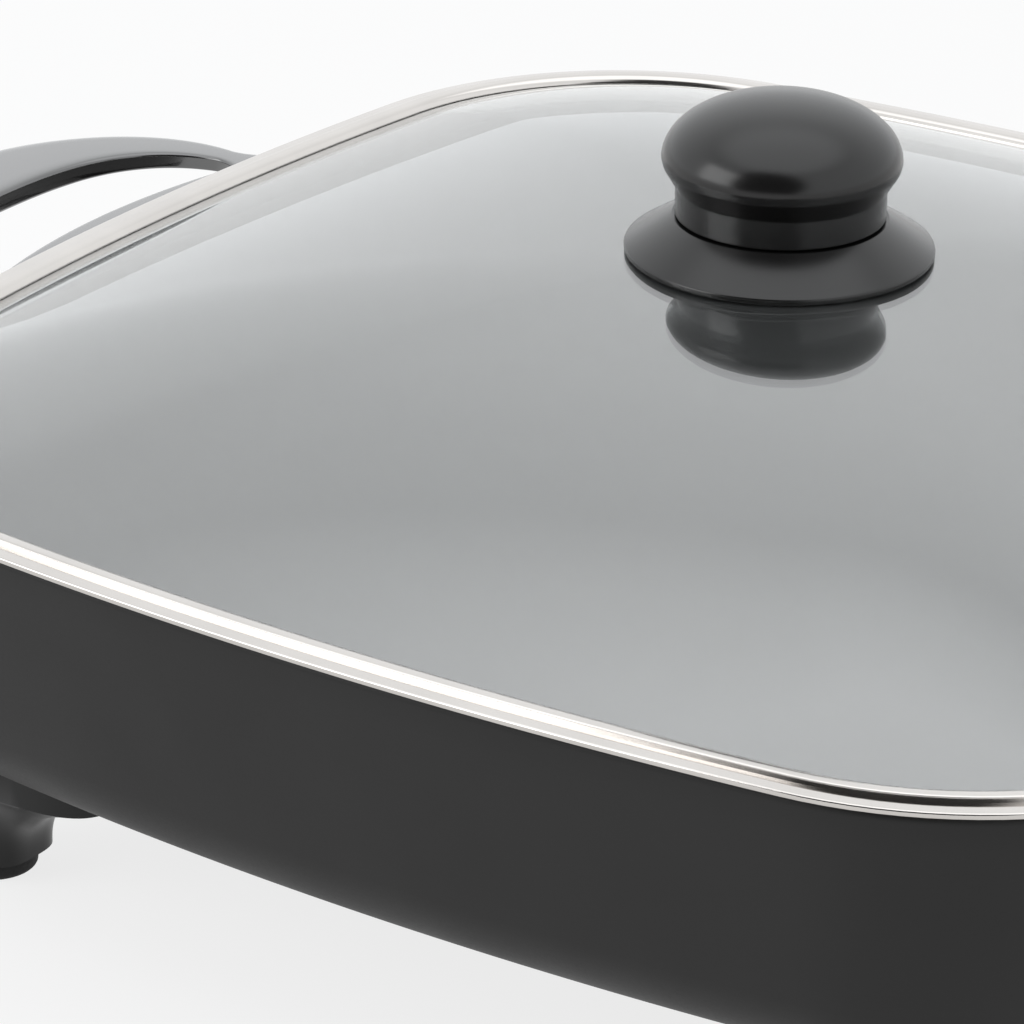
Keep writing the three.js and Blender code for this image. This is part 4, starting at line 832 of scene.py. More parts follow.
@dataclass
class Handle:
    """Moulded handle: a bow to hold, a web along the rim and two straps that reach under the pan."""

    drop: float = 0.2
    reach: float = 50.5
    arm_spacing: float = 85.6
    corner: float = 31
    bar_bow: float = 2.4
    arm_width: float = 6
    arm_thickness: float = 3.2
    arm_flare: float = 4
    bar_width: float = 20
    thickness: float = 5
    bow_power: float = 2.15
    power: float = 7
    root: float = 0.7
    web_width: float = 95
    web_height: float = 15
    web_edge: float = 1.4
    web_proud: float = 0.8
    web_crown: float = 5.6
    strap_spacing: float = 80
    strap_width: float = 15
    strap_thickness: float = 6
    strap_edge: float = 1.8
    strap_tail: float = 22

    @property
    def top(self) -> float:
        """Height of the handle's upper face."""
        return PAN.rim - self.drop

    def half_bow(self, steps: int = 28) -> np.ndarray:
        """Stations of half the bow: a straight arm and one superellipse round to the middle of the bar.

        The arm's foot is wider by 2 f (1 - s)^2 at a share s of the arm, with f its flare. Past the arm, width and
        thickness grow with u - max(u - 0.75, 0)^2, where u is the way gone as a share of the corner's quarter
        circle, up to 1.25.

        Args:
            steps: Steps of the arm. The rest has three times as many.

        Returns:
            Rows of x, y, width and thickness, from the wall to the middle of the bar.
        """
        arm = self.arm_spacing / 2
        start = float(OUTLINE.short_side(0, arm)) - self.root
        turn = OUTLINE.length / 2 + self.reach - self.bar_width / 2 - self.bar_bow - self.corner
        share = np.linspace(0, 1, steps + 1)
        level = np.ones(steps + 1)
        straight = joined(
            start + (turn - start) * share, arm * level,
            self.arm_width + 2 * self.arm_flare * (1 - share) ** 2, self.arm_thickness * level,
        )
        angle = np.linspace(0, math.pi / 2, 3 * steps + 1)
        x = turn + (self.corner + self.bar_bow) * np.sin(angle) ** (2 / self.bow_power)
        y = arm * np.cos(angle).clip(0) ** (2 / self.bow_power)
        way = np.concatenate([[0], np.cumsum(np.hypot(np.diff(x), np.diff(y)))]) / (self.corner * math.pi / 2)
        way = way.clip(0, 1.25)
        grown = way - (way - 0.75).clip(0) ** 2
        width = self.arm_width + (self.bar_width - self.arm_width) * grown
        thickness = self.arm_thickness + (self.thickness - self.arm_thickness) * grown
        return np.concatenate([straight[:-1], joined(x, y, width, thickness)])

    def bow(self) -> Shell:
        """Superellipse carried along the bow's line, flush on top, as wide and thick as its stations say.

        Returns:
            The closed shell.
        """
        half = self.half_bow()
        stations = np.concatenate([half, half[-2::-1] * [1, -1, 1, 1]])
        section = superellipse(0.5, 0.5, self.power, 48) - [0, 0.5]
        return capped(swept(stations[:, :2], section * stations[:, None, 2:] + [0, self.top]))

    def web(self) -> Shell:
        """Plate along the rim whose inner face follows the wall and whose outer face crowns outward.

        At a share s from its middle to an end the crown is c (1 - s^2). The long edges are quarter circles, and
        so are the ends, seen from above.

        Returns:
            The closed shell.
        """
        share = np.sin(np.linspace(-math.pi / 2, math.pi / 2, 97))[:, None]
        half, edge = self.web_width / 2, self.web_edge
        past = np.clip((np.abs(share) - 1) * half / edge + 1, 0, 1)
        outer = OUTLINE.short_side(0, share * half) + self.web_proud + self.web_crown * (1 - share**2)
        outer = outer - edge * (1 - np.sqrt(1 - past**2))
        low, high = self.top - self.web_height, self.top
        bend = np.linspace(0, math.pi / 2, 7)
        rise = np.concatenate([low + edge * (1 - np.cos(bend)), high - edge * (1 - np.sin(bend))])
        back = edge * np.concatenate([1 - np.sin(bend), 1 - np.cos(bend)])
        ends = np.array([low, high])
        inner = OUTLINE.short_side(PAN.wall_inset(ends)[None] - GAP, share * half)
        x = np.concatenate([inner[:, :1], outer - back, inner[:, 1:]], axis=1)
        z = np.concatenate([[low], rise, [high]])
        return capped(joined(x, share * half, z))

    def strap_face(self, offset: float) -> np.ndarray:
        """Insets and heights of one face of a strap: down the wall, round the bend and in under the base.

        Args:
            offset: Distance from the pan's outer face.

        Returns:
            Rows of inset and height.
        """
        wall_offset = -offset / math.cos(PAN.draft)
        top = self.top - self.thickness / 2
        turn = PAN.bend(PAN.base_height - offset, wall_offset, PAN.outer_bend + offset)[::-1]
        start = np.array([PAN.wall_inset(top) + wall_offset, top])
        down = np.linspace(start, turn[0], 7)[:-1]
        under = np.linspace(turn[-1], turn[-1] + [self.strap_tail, 0], 9)[1:]
        return np.concatenate([down, turn, under])

    def strap(self, middle: float) -> Shell:
        """Strap between its two faces, flat against the pan and with round outer edges.

        A point of the section has a place across the strap and a share of its thickness.

        Args:
            middle: Where the strap's middle is along Y.

        Returns:
            The closed shell.
        """
        inner, outer = self.strap_face(GAP), self.strap_face(GAP + self.strap_thickness)
        half, edge = self.strap_width / 2, self.strap_edge
        bend = np.linspace(math.pi / 2, 0, 6)
        left = joined(
            edge * (1 - np.sin(bend)) - half, 1 - edge / self.strap_thickness * (1 - np.cos(bend)),
        )[::-1]
        section = np.concatenate([[[-half, 0]], left, left[::-1] * [-1, 1], [[half, 0]]])
        point = inner[:, None] + (outer - inner)[:, None] * section[None, :, 1:]
        y = middle + section[:, 0]
        x = OUTLINE.short_side(point[..., 0], y)
        return capped(joined(x, y, point[..., 1]))

    def build(self, name: str, end: int) -> None:
        """Builds one handle; the left one is the right one turned half round.

        Args:
            name: CAD node of the handle.
            end: 1 for the right end, -1 for the left one.
        """
        straps = [self.strap(side * self.strap_spacing / 2) for side in (-1, 1)]
        placed = [(vertices * [end, end, 1], quads) for vertices, quads in (self.bow(), self.web(), *straps)]
        build_piece(f"{name}_moulding", placed, PHENOLIC, "base", [name])


# Legs and feet


@dataclass
class Leg:
    """Moulded leg that flares up into a pad under the pan, with its rubber foot."""

    pad_length: float = 46
    pad_width: float = 27
    pad_thickness: float = 7.5
    pad_shift: float = 10
    foot_length: float = 21
    foot_width: float = 18
    power: float = 3.4
    foot_height: float = 4
    foot_radius: float = 8.6
    bore: float = 4.6
    flare_power: float = 3.4
    shift_power: float = 2.4
    edge_drops: tuple[float, ...] = (0, 0.3, 1)
    edge_flares: tuple[float, ...] = (0.975, 0.995, 1)

    def post(self, place: Sequence[float]) -> Shell:
        """Superellipse sections that shrink from the pad, whose upper edge is soft, to the foot.

        At a share f of the fall below the pad, the flare and the shift towards the middle are powers of 1 - f.

        Args:
            place: Middle of the foot, seen from above.

        Returns:
            The closed shell.
        """
        top, low = PAN.base_height - GAP, self.foot_height + GAP
        pad_low = top - self.pad_thickness
        fall = np.linspace(0, 1, 26)
        height = np.concatenate([top - np.array(self.edge_drops), pad_low - (pad_low - low) * fall])
        flare = np.concatenate([self.edge_flares, (1 - fall) ** self.flare_power])
        shift = np.concatenate([np.ones(len(self.edge_flares)), (1 - fall) ** self.shift_power])
        length = self.foot_length + (self.pad_length - self.foot_length) * flare
        width = self.foot_width + (self.pad_width - self.foot_width) * flare
        section = superellipse(0.5, 0.5, self.power, 64)
        middle = place[0] - math.copysign(self.pad_shift, place[0]) * shift
        x = middle[:, None] + section[None, :, 0] * length[:, None]
        y = place[1] + section[None, :, 1] * width[:, None]
        return capped(joined(x, y, height[:, None]))

    def foot(self, place: Sequence[float]) -> Shell:
        """Rubber disc with round edges and a plug up into the leg.

        Args:
            place: Middle of the foot, seen from above.

        Returns:
            The closed shell.
        """
        plug, radius, rise = self.bore - GAP, self.foot_radius, self.foot_height
        corners = [(0, 0), (radius, 0), (radius, rise), (plug, rise), (plug, 2 * rise), (0, 2 * rise)]
        return lathe(corners, [0, 1.1, 0.5, 0.2, 0.5, 0], 64, place)

    def build(self) -> None:
        """Builds the four legs and their feet."""
        for corner, foot in zip(CORNERS, FEET):
            place = node_middle(foot)
            build_piece(f"leg_{corner}_post", [self.post(place)], LEG_PHENOLIC, "base", [f"leg_{corner}"])
            build_piece(f"foot_{corner}_pad", [self.foot(place)], RUBBER, "base", [foot])


# Screws


@dataclass
class PanScrew:
    """Pan-head screw that points up, with a crossed recess in its head."""

    node: str
    body: str
    head: float = 3.8
    head_height: float = 2
    radius: float = 2
    depth: float = 0.75
    rise: float = 0.5
    bar: tuple[float, float] = (0.62, 0.15)
    blur: tuple[float, float] = (0.1, 0.06)

    def bar_share(self, along: np.ndarray, aside: np.ndarray) -> np.ndarray:
        """1 in one bar of the cross and 0 outside it, smooth between, in shares of the head's radius."""
        ends = smoothstep((self.bar[0] - np.abs(along)) / self.blur[0])
        return ends * smoothstep((self.bar[1] - np.abs(aside)) / self.blur[1])

    def shell(self) -> Shell:
        """Head with a dished cross and a plain shank.

        The head's face falls away as an ellipse towards its edge. The cross is sunk where a smooth bar along
        X or Y covers the point, deepest in the middle.

        Returns:
            The closed shell.
        """
        low, high = node_span(self.node)
        middle = node_middle(self.node)
        reach = np.concatenate([np.linspace(0, 0.97, 25), [0.99, 1]])
        angle = full_turn(64)
        x, y = reach[:, None] * np.cos(angle), reach[:, None] * np.sin(angle)
        cross = np.maximum(self.bar_share(x, y), self.bar_share(y, x)) * (1 - self.rise * reach[:, None])
        fall = 1 - np.sqrt(1 - reach**2)[:, None]
        face = low[2] + self.depth * self.head_height * (fall + cross)
        dish = joined(middle[0] + self.head * x, middle[1] + self.head * y, face)
        bearing = low[2] + self.head_height
        corners = [(self.head, bearing), (self.radius, bearing), (self.radius, high[2]), (0, high[2])]
        return grid_shell(np.concatenate([dish, turned(corners, 64, middle)]))

    def build(self) -> None:
        """Builds the screw in place of its CAD node."""
        build_piece(f"{self.node}_cross_head", [self.shell()], PLAIN_STEEL, self.body, [self.node])


def build_screws() -> None:
    """Builds every pan-head screw: the legs', handles' and guard's, and the knob's."""
    legs = [f"leg_screw_{corner}" for corner in CORNERS]
    for node in (*legs, *HANDLE_SCREWS, "guard_screw_1", "guard_screw_2"):
        PanScrew(node, "base").build()
    PanScrew("knob_screw", "lid", head=4.6, head_height=3, radius=2.5).build()


# Lid


@dataclass
class Lid:
    """Domed glass, the steel band folded round its edge and the steam vent."""

    thickness: float = 3.6
    rise: float = 28
    edge_step: float = 0.5
    hole: float = 4.4
    power: float = 2.2
    running_gap: float = 0.6
    press: float = 0.03
    band_sheet: float = 0.8
    flange_width: float = 3.9
    flange_height: float = 1.3
    bead_height: float = 1.1
    bead_overlap: float = 0.6
    lip: float = 2.6
    skirt: float = 5
    vent_distance: float = 92
    vent_bore: float = 2
    vent_sleeve: float = 3
    vent_flange: float = 2.6
    vent_sheet: float = 0.9
    vent_bevel: float = 0.4
    drill_reach: float = 9
    bead_shares: tuple[tuple[float, float], ...] = (
        (0, 0), (0.03, 0.85), (0.14, 1), (0.5, 0.94), (0.8, 0.62), (1, -0.3),
    )

    @property
    def seat(self) -> float:
        """Height at which the band rests on the rim."""
        return PAN.rim + GAP

    @property
    def skirt_inset(self) -> float:
        """Inset of the skirt that drops inside the pan."""
        return float(PAN.wall_inset(PAN.rim - self.skirt)) + PAN.wall / math.cos(PAN.draft) + self.running_gap

    @property
    def edge_inset(self) -> float:
        """Inset of the glass's edge."""
        return self.skirt_inset + self.band_sheet + GAP

    @property
    def half_length(self) -> float:
        """Distance from the middle to the glass's edge, along X."""
        return OUTLINE.length / 2 - self.edge_inset

    def top(self, share: np.ndarray) -> np.ndarray:
        """Height of the upper face: it falls from the middle by the rise times share^power."""
        return self.seat + self.edge_step + self.rise * (1 - share**self.power)

    def share(self, distance: float) -> float:
        """Share of the way from the centre hole to the edge, along X."""
        return (distance - self.hole) / (self.half_length - self.hole)

    def glass(self) -> Shell:
        """Two domed faces from the centre hole to the edge, joined by a plain bore and a plain edge in the band.

        Returns:
            The closed shell.
        """
        share = np.linspace(0, 1, 57)
        edge = OUTLINE.rings([self.edge_inset], [0])[0]
        hole = edge / np.linalg.norm(edge, axis=1)[:, None] * self.hole
        flat = hole + (edge - hole) * share[:, None, None]
        upper = flat + np.array([0, 0, 1]) * self.top(share)[:, None, None]
        lower = upper - [0, 0, self.thickness]
        return grid_shell(np.concatenate([lower, upper[::-1]]), wrap_rows=True)

    def vent_place(self) -> Matrix:
        """Turn and place of the vent, square to the glass where it sits.

        Returns:
            The turn and place, in millimetres about the lid's middle.
        """
        share = self.share(self.vent_distance)
        tilt = math.atan(self.rise * self.power * share ** (self.power - 1) / self.half_length)
        middle = Vector((self.vent_distance, 0, self.top(share) - self.thickness / 2))
        return Matrix.Translation(middle) @ Matrix.Rotation(tilt, 4, "Y")

    def set_in_vent(self, shell: Shell) -> Shell:
        """The shell moved from the origin to the vent."""
        place = np.array(self.vent_place())
        return shell[0] @ place[:3, :3].T + place[:3, 3], shell[1]

    def vent(self) -> Shell:
        """Eyelet whose sleeve goes through the glass and whose rolled flanges hold it.

        Returns:
            The closed shell, upright about the origin.
        """
        bore, sleeve, rim = self.vent_bore, self.vent_sleeve, self.vent_sleeve + self.vent_flange
        face = self.thickness / 2 + GAP
        end = face + self.vent_sheet
        corners = [
            (bore, -end), (rim, -end), (rim, -face), (sleeve, -face), (sleeve, face), (rim, face),
            (rim - self.vent_bevel, end), (bore, end),
        ]
        return lathe(corners, [0.6, 0.4, 0.3, 0.1, 0.1, 0.3, 0.5, 0.6], 48, closed=True)

    def bead(self) -> np.ndarray:
        """Insets and heights of the bead: an upright riser, a crest and a long fall on to the glass.

        Returns:
            Rows of inset and height above the seat.
        """
        across, up = np.array(self.bead_shares).T
        at = np.concatenate([np.linspace(0, 0.03, 8), np.linspace(0.035, 0.2, 14), np.linspace(0.24, 1, 16)])
        width = self.edge_inset + self.bead_overlap - self.flange_width
        return joined(
            self.flange_width + width * at, self.flange_height + self.bead_height * monotone(across, up, at),
        )

    def band_profile(self) -> np.ndarray:
        """Insets and heights above the seat: bead, fold under the glass, skirt, round edge and level flange.

        Returns:
            Rows of inset and height, round the closed profile.
        """
        slope = self.rise * self.power / self.half_length
        high, sheet, bead = self.flange_height, self.band_sheet, self.bead()
        inner, tip, lip = (self.edge_inset + step for step in (-GAP, self.bead_overlap, self.lip))
        top_tip, top_inner = (
            self.edge_step + (inset - self.edge_inset) * slope + self.press for inset in (tip, inner)
        )
        drop = self.thickness + 2 * GAP + self.press
        low_inner, low_lip = top_inner - drop, top_tip + (lip - tip) * slope - drop
        corners = [
            bead[-1], (tip, top_tip), (inner, top_inner), (inner, low_inner), (lip, low_lip), (lip, low_lip - sheet),
            (inner, low_inner - sheet), (inner, -self.skirt), (self.skirt_inset, -self.skirt),
            (self.skirt_inset, 0), (0, 0), (0, high), bead[0],
        ]
        radii = [0, 0.1, 0.1, 0.1, 0.3, 0.3, 0.2, 0.3, 0.3, 0.2, high * 0.6, high * 0.3, 0]
        return np.concatenate([bead[1:-1], rounded(corners, radii, steps=6)])

    def build(self) -> None:
        """Builds the glass, band and vent."""
        drill = rod(self.vent_sleeve + GAP, -self.drill_reach, self.drill_reach)
        hole = self.set_in_vent(grid_shell(turned(drill, 40)))
        build_piece("lid_glass_dome", [self.glass()], GLASS, "lid", ["lid_glass"], cutters=[hole])
        profile = self.band_profile()
        band = grid_shell(OUTLINE.rings(profile[:, 0], self.seat + profile[:, 1]), wrap_rows=True)
        build_piece("lid_band_fold", [band], POLISHED_STEEL, "lid", ["lid_rim_band"])
        build_piece("vent_eyelet_turned", [self.set_in_vent(self.vent())], PLAIN_STEEL, "lid", ["vent_eyelet"])


LID = Lid()


@dataclass
class Knob:
    """Round knob: a domed grip on a short neck, standing on a flared skirt."""

    head_radius: float = 22.4
    neck_radius: float = 19.7
    neck_height: float = 5.6
    flare_height: float = 5.2
    crown_power: float = 2.05
    crown_height: float = 11.8
    wall: float = 2.6
    post: float = 6
    bore: float = 2.8
    bore_depth: float = 16
    skirt_radius: float = 29
    skirt_edge: float = 1.9
    skirt_wall: float = 2
    gasket_radius: float = 13
    steps: int = 128

    def grip(self) -> Shell:
        """Neck, flare and crown turned about the middle.

        The crown is the quarter superellipse (r cos(t)^(2/p), h sin(t)^(2/p)).

        Returns:
            The closed shell.
        """
        low = node_span("knob_grip")[0]
        under = node_span("knob_skirt")[1][2] + GAP
        head_low = under + self.neck_height + self.flare_height
        angle = np.linspace(0, math.pi / 2, 40)
        crown = joined(
            self.head_radius * np.cos(angle) ** (2 / self.crown_power),
            head_low + self.crown_height * np.sin(angle) ** (2 / self.crown_power),
        )
        crown[-1, 0] = 0
        bore_top = low[2] + self.bore_depth
        inner = self.neck_radius - self.wall
        neck_top = under + self.neck_height
        foot = rounded([
            (0, bore_top), (self.bore, bore_top), (self.bore, low[2]), (self.post, low[2]), (self.post, head_low),
            (inner, head_low), (inner, under), (self.neck_radius, under), (self.neck_radius, neck_top),
            (self.head_radius - self.wall / 8, head_low - self.wall / 2), tuple(crown[0]),
        ], [0, 0.2, 0.3, 0.3, 1, 1, 0.4, 0.35, 1.2, 1.6, 0])
        return grid_shell(turned(np.concatenate([foot[:-1], crown]), self.steps))

    def skirt(self) -> Shell:
        """Flared skirt with a thin round edge, hollow underneath.

        Returns:
            The closed shell.
        """
        low, high = node_span("knob_skirt")
        edge, radius, hole, inside = self.skirt_edge, self.skirt_radius, self.post + GAP, self.gasket_radius
        seat, ceiling = low[2], high[2] - self.skirt_wall
        lip = float(LID.top(LID.share(radius))) + GAP
        corners = [
            (hole, seat), (inside, seat), (inside, ceiling), (self.neck_radius, ceiling),
            (radius - self.skirt_wall, lip), (radius, lip), (radius, lip + edge * 0.65),
            (self.neck_radius + edge / 4, high[2]), (hole, high[2]),
        ]
        return lathe(corners, [0.3, 0.5, 1, 1, 0.3, 0.6, 0.6, 0.3, 0.3], self.steps, closed=True)

    def ring(self, node: str, inner: float) -> Shell:
        """Flat ring with softened edges in the place of a CAD node.

        Args:
            node: CAD node.
            inner: Radius of the hole.

        Returns:
            The closed shell.
        """
        low, high = node_span(node)
        outer = (high[0] - low[0]) / 2
        corners = [(inner, low[2]), (outer, low[2]), (outer, high[2]), (inner, high[2])]
        return lathe(corners, [0.1, 0.25, 0.25, 0.1], 64, closed=True)

    def build(self) -> None:
        """Builds the grip, skirt, gasket and washer."""
        gasket, washer = self.ring("knob_gasket", self.post + GAP), self.ring("knob_washer", self.bore)
        build_piece("knob_grip_turned", [self.grip()], SATIN_PHENOLIC, "lid", ["knob_grip"])
        build_piece("knob_skirt_turned", [self.skirt()], SATIN_PHENOLIC, "lid", ["knob_skirt"])
        build_piece("knob_gasket_ring", [gasket], SILICONE, "lid", ["knob_gasket"])
        build_piece("knob_washer_ring", [washer], PLAIN_STEEL, "lid", ["knob_washer"])


# Control


@dataclass
class Control:
    """Plug-in thermostat control: two housing halves, the dial, the lens and the cord gland."""

    length: float = 96
    width: float = 58
    height: float = 28
    wall: float = 2.2
    power: float = 5
    parting: float = 0.15
    pin_spacing: float = 30
    pin_hole: float = 3.6
    rod_hole: float = 3.3
    gland_hole: float = 5.1
    hole_depth: float = 4.2
    overrun: float = 3
    screw_well: float = 3
    screw_depth: float = 4
    lens_radius: float = 4
    lens_rise: float = 1.6
    lens_flange: float = 1.4
    lens_sheet: float = 0.8
    gland_bore: float = 3.2
    gland_neck: float = 4.8
    gland_rim: float = 5.8
    gland_flange: float = 2
    dial_place: float = 44
    dial_radius: float = 22
    dial_height: float = 8
    dial_seat: float = 1.6
    seat_foot: float = 1.6
    seat_edge: float = 0.8
    seat_sunk: float = 1
    flutes: int = 16
    flute_depth: float = 0.8
    grip_inset: float = 2.4
    grip_half: float = 4
    grip_edge: float = 1.1
    shares: tuple[tuple[float, float, float], ...] = (
        (0, 0.93, 0.88), (0.03, 0.98, 1), (0.46, 1, 1), (0.7, 0.94, 1), (0.84, 0.76, 0.93), (0.96, 0.54, 0.8),
        (1, 0.42, 0.68),
    )

    @property
    def nose(self) -> float:
        """Where the housing's nose is, along X."""
        return float(node_span("control_lower_shell")[0][0]) - MIDDLE_X

    @property
    def axis(self) -> float:
        """Height of the rod and pins."""
        return PAN.element_height

    def stations(self, wall: float) -> tuple[np.ndarray, np.ndarray, np.ndarray]:
        """Place, half width and half height of the housing's sections, less a wall; the shares run smoothly.

        Args:
            wall: How far inside the outer skin they are.

        Returns:
            Places along X, half widths and half heights.
        """
        place, width, height = np.array(self.shares).T
        at = np.concatenate([np.linspace(0, 0.03, 6), np.linspace(0.06, 0.96, 40), np.linspace(0.965, 1, 6)])
        x = self.nose + wall + (self.length - 2 * wall) * at
        halves = (size * monotone(place, share, at) / 2 - wall for size, share in (
            (self.width, width), (self.height, height),
        ))
        return x, *halves

    def skin(self, wall: float, low: float, high: float) -> np.ndarray:
        """Grid of half the housing: superellipse sections cut to an arc between two angles.

        Args:
            wall: How far inside the outer skin it is.
            low: First angle of the arc.
            high: Last angle of the arc.

        Returns:
            Points, sections by angles by three, with an end row at each end.
        """
        x, half_width, half_height = (sizes[:, None] for sizes in self.stations(wall))
        angle = np.linspace(low, high, 61)
        across, up = (signed_power(part, 2 / self.power) for part in (np.cos(angle), np.sin(angle)))
        grid = joined(x, half_width * across, self.axis + half_height * up)
        ends = grid[[0, -1]].copy()
        ends[..., 1:] = [0, self.axis]
        return np.concatenate([ends[:1], grid, ends[1:]])

    def half(self, side: int) -> Shell:
        """Hollow half of the housing, upper or lower: outer skin, inner skin and the faces at the parting line.

        Args:
            side: 1 for the upper half, -1 for the lower one.

        Returns:
            The closed shell.
        """
        low, high = (0, math.pi) if side > 0 else (math.pi, 2 * math.pi)
        outer, inner = self.skin(0, low, high), self.skin(self.wall, low, high)
        rows, columns = outer.shape[:2]
        points = np.concatenate([outer, inner[::-1]]) + [0, 0, self.parting * side]
        index = np.arange(2 * rows * columns).reshape(2 * rows, columns)
        below = np.roll(index, -1, axis=0)
        quads = joined(index[:, :-1], index[:, 1:], below[:, 1:], below[:, :-1]).reshape(-1, 4)
        strips = [
            joined(run[:rows - 1], run[1:rows], facing[1:rows], facing[:rows - 1])
            for run, facing in ((index[:, edge], index[::-1, edge]) for edge in (0, -1))
        ]
        return points.reshape(-1, 3), np.concatenate([quads, *strips])

    def drill(self, radius: float, y: float, start: float, end: float) -> Shell:
        """Round cutter along X."""
        return grid_shell(turned_along_x(rod(radius, start, end), 40, y, self.axis))

    def holes(self) -> list[Shell]:
        """Cutters for the two pins, the rod and the cord gland.

        Returns:
            The closed cutters.
        """
        nose, tail, half = self.nose, self.nose + self.length, self.pin_spacing / 2
        front = [(self.pin_hole, -half), (self.pin_hole, half), (self.rod_hole, 0)]
        drills = [self.drill(radius, y, nose - self.overrun, nose + self.hole_depth) for radius, y in front]
        return [*drills, self.drill(self.gland_hole, 0, tail - self.hole_depth, tail + self.overrun)]

    def upright(self, radius: float, place: Sequence[float], low: float, high: float) -> Shell:
        """Round upright cutter."""
        return grid_shell(turned(rod(radius, low, high), 48, place))

    def build(self) -> None:
        """Builds the housing with the dial's seat, the lens, the gland and the dial."""
        dial_x, lens_x = self.nose + self.dial_place, node_middle("indicator_lens")[0]
        low, top = self.axis - self.height / 2, self.axis + self.height / 2
        radius, seat_low, seat_top = self.dial_radius, top - self.seat_sunk, top + self.dial_seat
        corners = [
            (0, seat_low), (radius + self.seat_foot, seat_low), (radius + self.seat_edge, seat_top), (0, seat_top),
        ]
        window = self.upright(self.lens_radius + GAP, (lens_x, 0), self.axis, top + self.dial_height)
        shaft = self.upright(self.rod_hole, (dial_x, 0), self.axis, top + self.dial_height)
        build_piece(
            "control_upper_half", [self.half(1), lathe(corners, [0, 0.2, 0.7, 0], 96, (dial_x, 0))], HOUSING,
            "control", ["control_upper_shell"], cutters=[*self.holes(), window, shaft],
        )
        wells = [
            self.upright(self.screw_well, node_middle(node), low - self.height / 2, low + self.screw_depth)
            for node in ("control_screw_1", "control_screw_2", "control_screw_3")
        ]
        build_piece(
            "control_lower_half", [self.half(-1)], HOUSING, "control", ["control_lower_shell"],
            cutters=[*self.holes(), *wells],
        )
        self.build_lens(lens_x, top)
        self.build_gland()
        dial_low, dial_high = (corner[2] for corner in node_span("control_dial"))
        dial = [self.dial_disc(dial_x, dial_low), self.dial_grip(dial_x, dial_low + self.dial_height, dial_high)]
        build_piece("control_dial_fluted", dial, HOUSING, "dial", ["control_dial"])

    def build_lens(self, x: float, top: float) -> None:
        """Builds the domed indicator lens.

        Args:
            x: Where the lens is along X.
            top: Height of the housing's top.
        """
        radius, low = self.lens_radius, top - self.wall - GAP
        rim, under = radius + self.lens_flange, low - self.lens_sheet
        angle = np.linspace(0, math.pi / 2, 12)
        dome = joined(radius * np.cos(angle), top + self.lens_rise * np.sin(angle))
        profile = np.concatenate([[(0, under), (rim, under), (rim, low), (radius, low)], dome])
        lens = grid_shell(turned(profile, 48, (x, 0)))
        build_piece("indicator_lens_dome", [lens], AMBER, "control", ["indicator_lens"])

    def build_gland(self) -> None:
        """Builds the rubber gland, a sleeve held by two flanges."""
        inside, outside = self.nose + self.length - self.wall - GAP, self.nose + self.length + GAP
        first, last = inside - self.gland_flange, outside + self.gland_flange
        bore, neck, rim = self.gland_bore, self.gland_neck, self.gland_rim
        corners = [
            (bore, first), (rim, first), (rim, inside), (neck, inside), (neck, outside), (rim, outside),
            (rim, last - 1), (neck, last), (bore, last),
        ]
        profile = rounded(corners, [0.3, 0.4, 0.4, 0.1, 0.1, 0.4, 0.5, 0.5, 0.4], closed=True)
        gland = grid_shell(turned_along_x(profile, 48, 0, self.axis), wrap_rows=True)
        build_piece("cord_gland_sleeve", [gland], RUBBER, "control", ["cord_gland"])

    def dial_disc(self, x: float, low: float) -> Shell:
        """Fluted disc with round edges, whose radius is r - d (1 + cos(n t)) / 2 round the turn t.

        Args:
            x: Where the dial's axis is along X.
            low: Height of its underside.

        Returns:
            The closed shell.
        """
        angle = full_turn(16 * self.flutes)
        radius = self.dial_radius - self.flute_depth * (1 + np.cos(self.flutes * angle)) / 2
        bend, top = np.linspace(0, math.pi / 2, 7), low + self.dial_height
        rise, fall = 1 - np.cos(bend), 1 - np.sin(bend)
        share = np.concatenate([[0, 0.5], 1 - 0.04 * fall, 1 - 0.05 * rise, [0.8, 0.5, 0]])[:, None]
        height = np.concatenate([[low, low], low + 0.8 * rise, top - fall, [top] * 3])[:, None]
        return grid_shell(joined(x + share * radius * np.cos(angle), share * radius * np.sin(angle), height))

    def dial_grip(self, x: float, low: float, high: float) -> Shell:
        """Grip bar across the disc: a stadium with a spread foot and a round upper edge.

        Args:
            x: Where the dial's axis is along X.
            low: Height of the disc's top.
            high: Height of the bar's top.

        Returns:
            The closed shell.
        """
        half, edge = self.grip_half, self.grip_edge
        reach = self.dial_radius - self.grip_inset - half
        turn = full_turn(96)
        around = joined(np.cos(turn), np.sin(turn))
        ends = joined(x + np.sign(around[:, 0]) * reach, 0)
        bend = np.linspace(0, math.pi / 2, 7)
        inward = np.concatenate([[-0.5, -0.1], edge * (1 - np.cos(bend))])[:, None, None]
        height = np.concatenate([[low - 0.8, low + 0.4], high - edge * (1 - np.sin(bend))])[:, None]
        return capped(raised(ends + around * (half - inward), height))


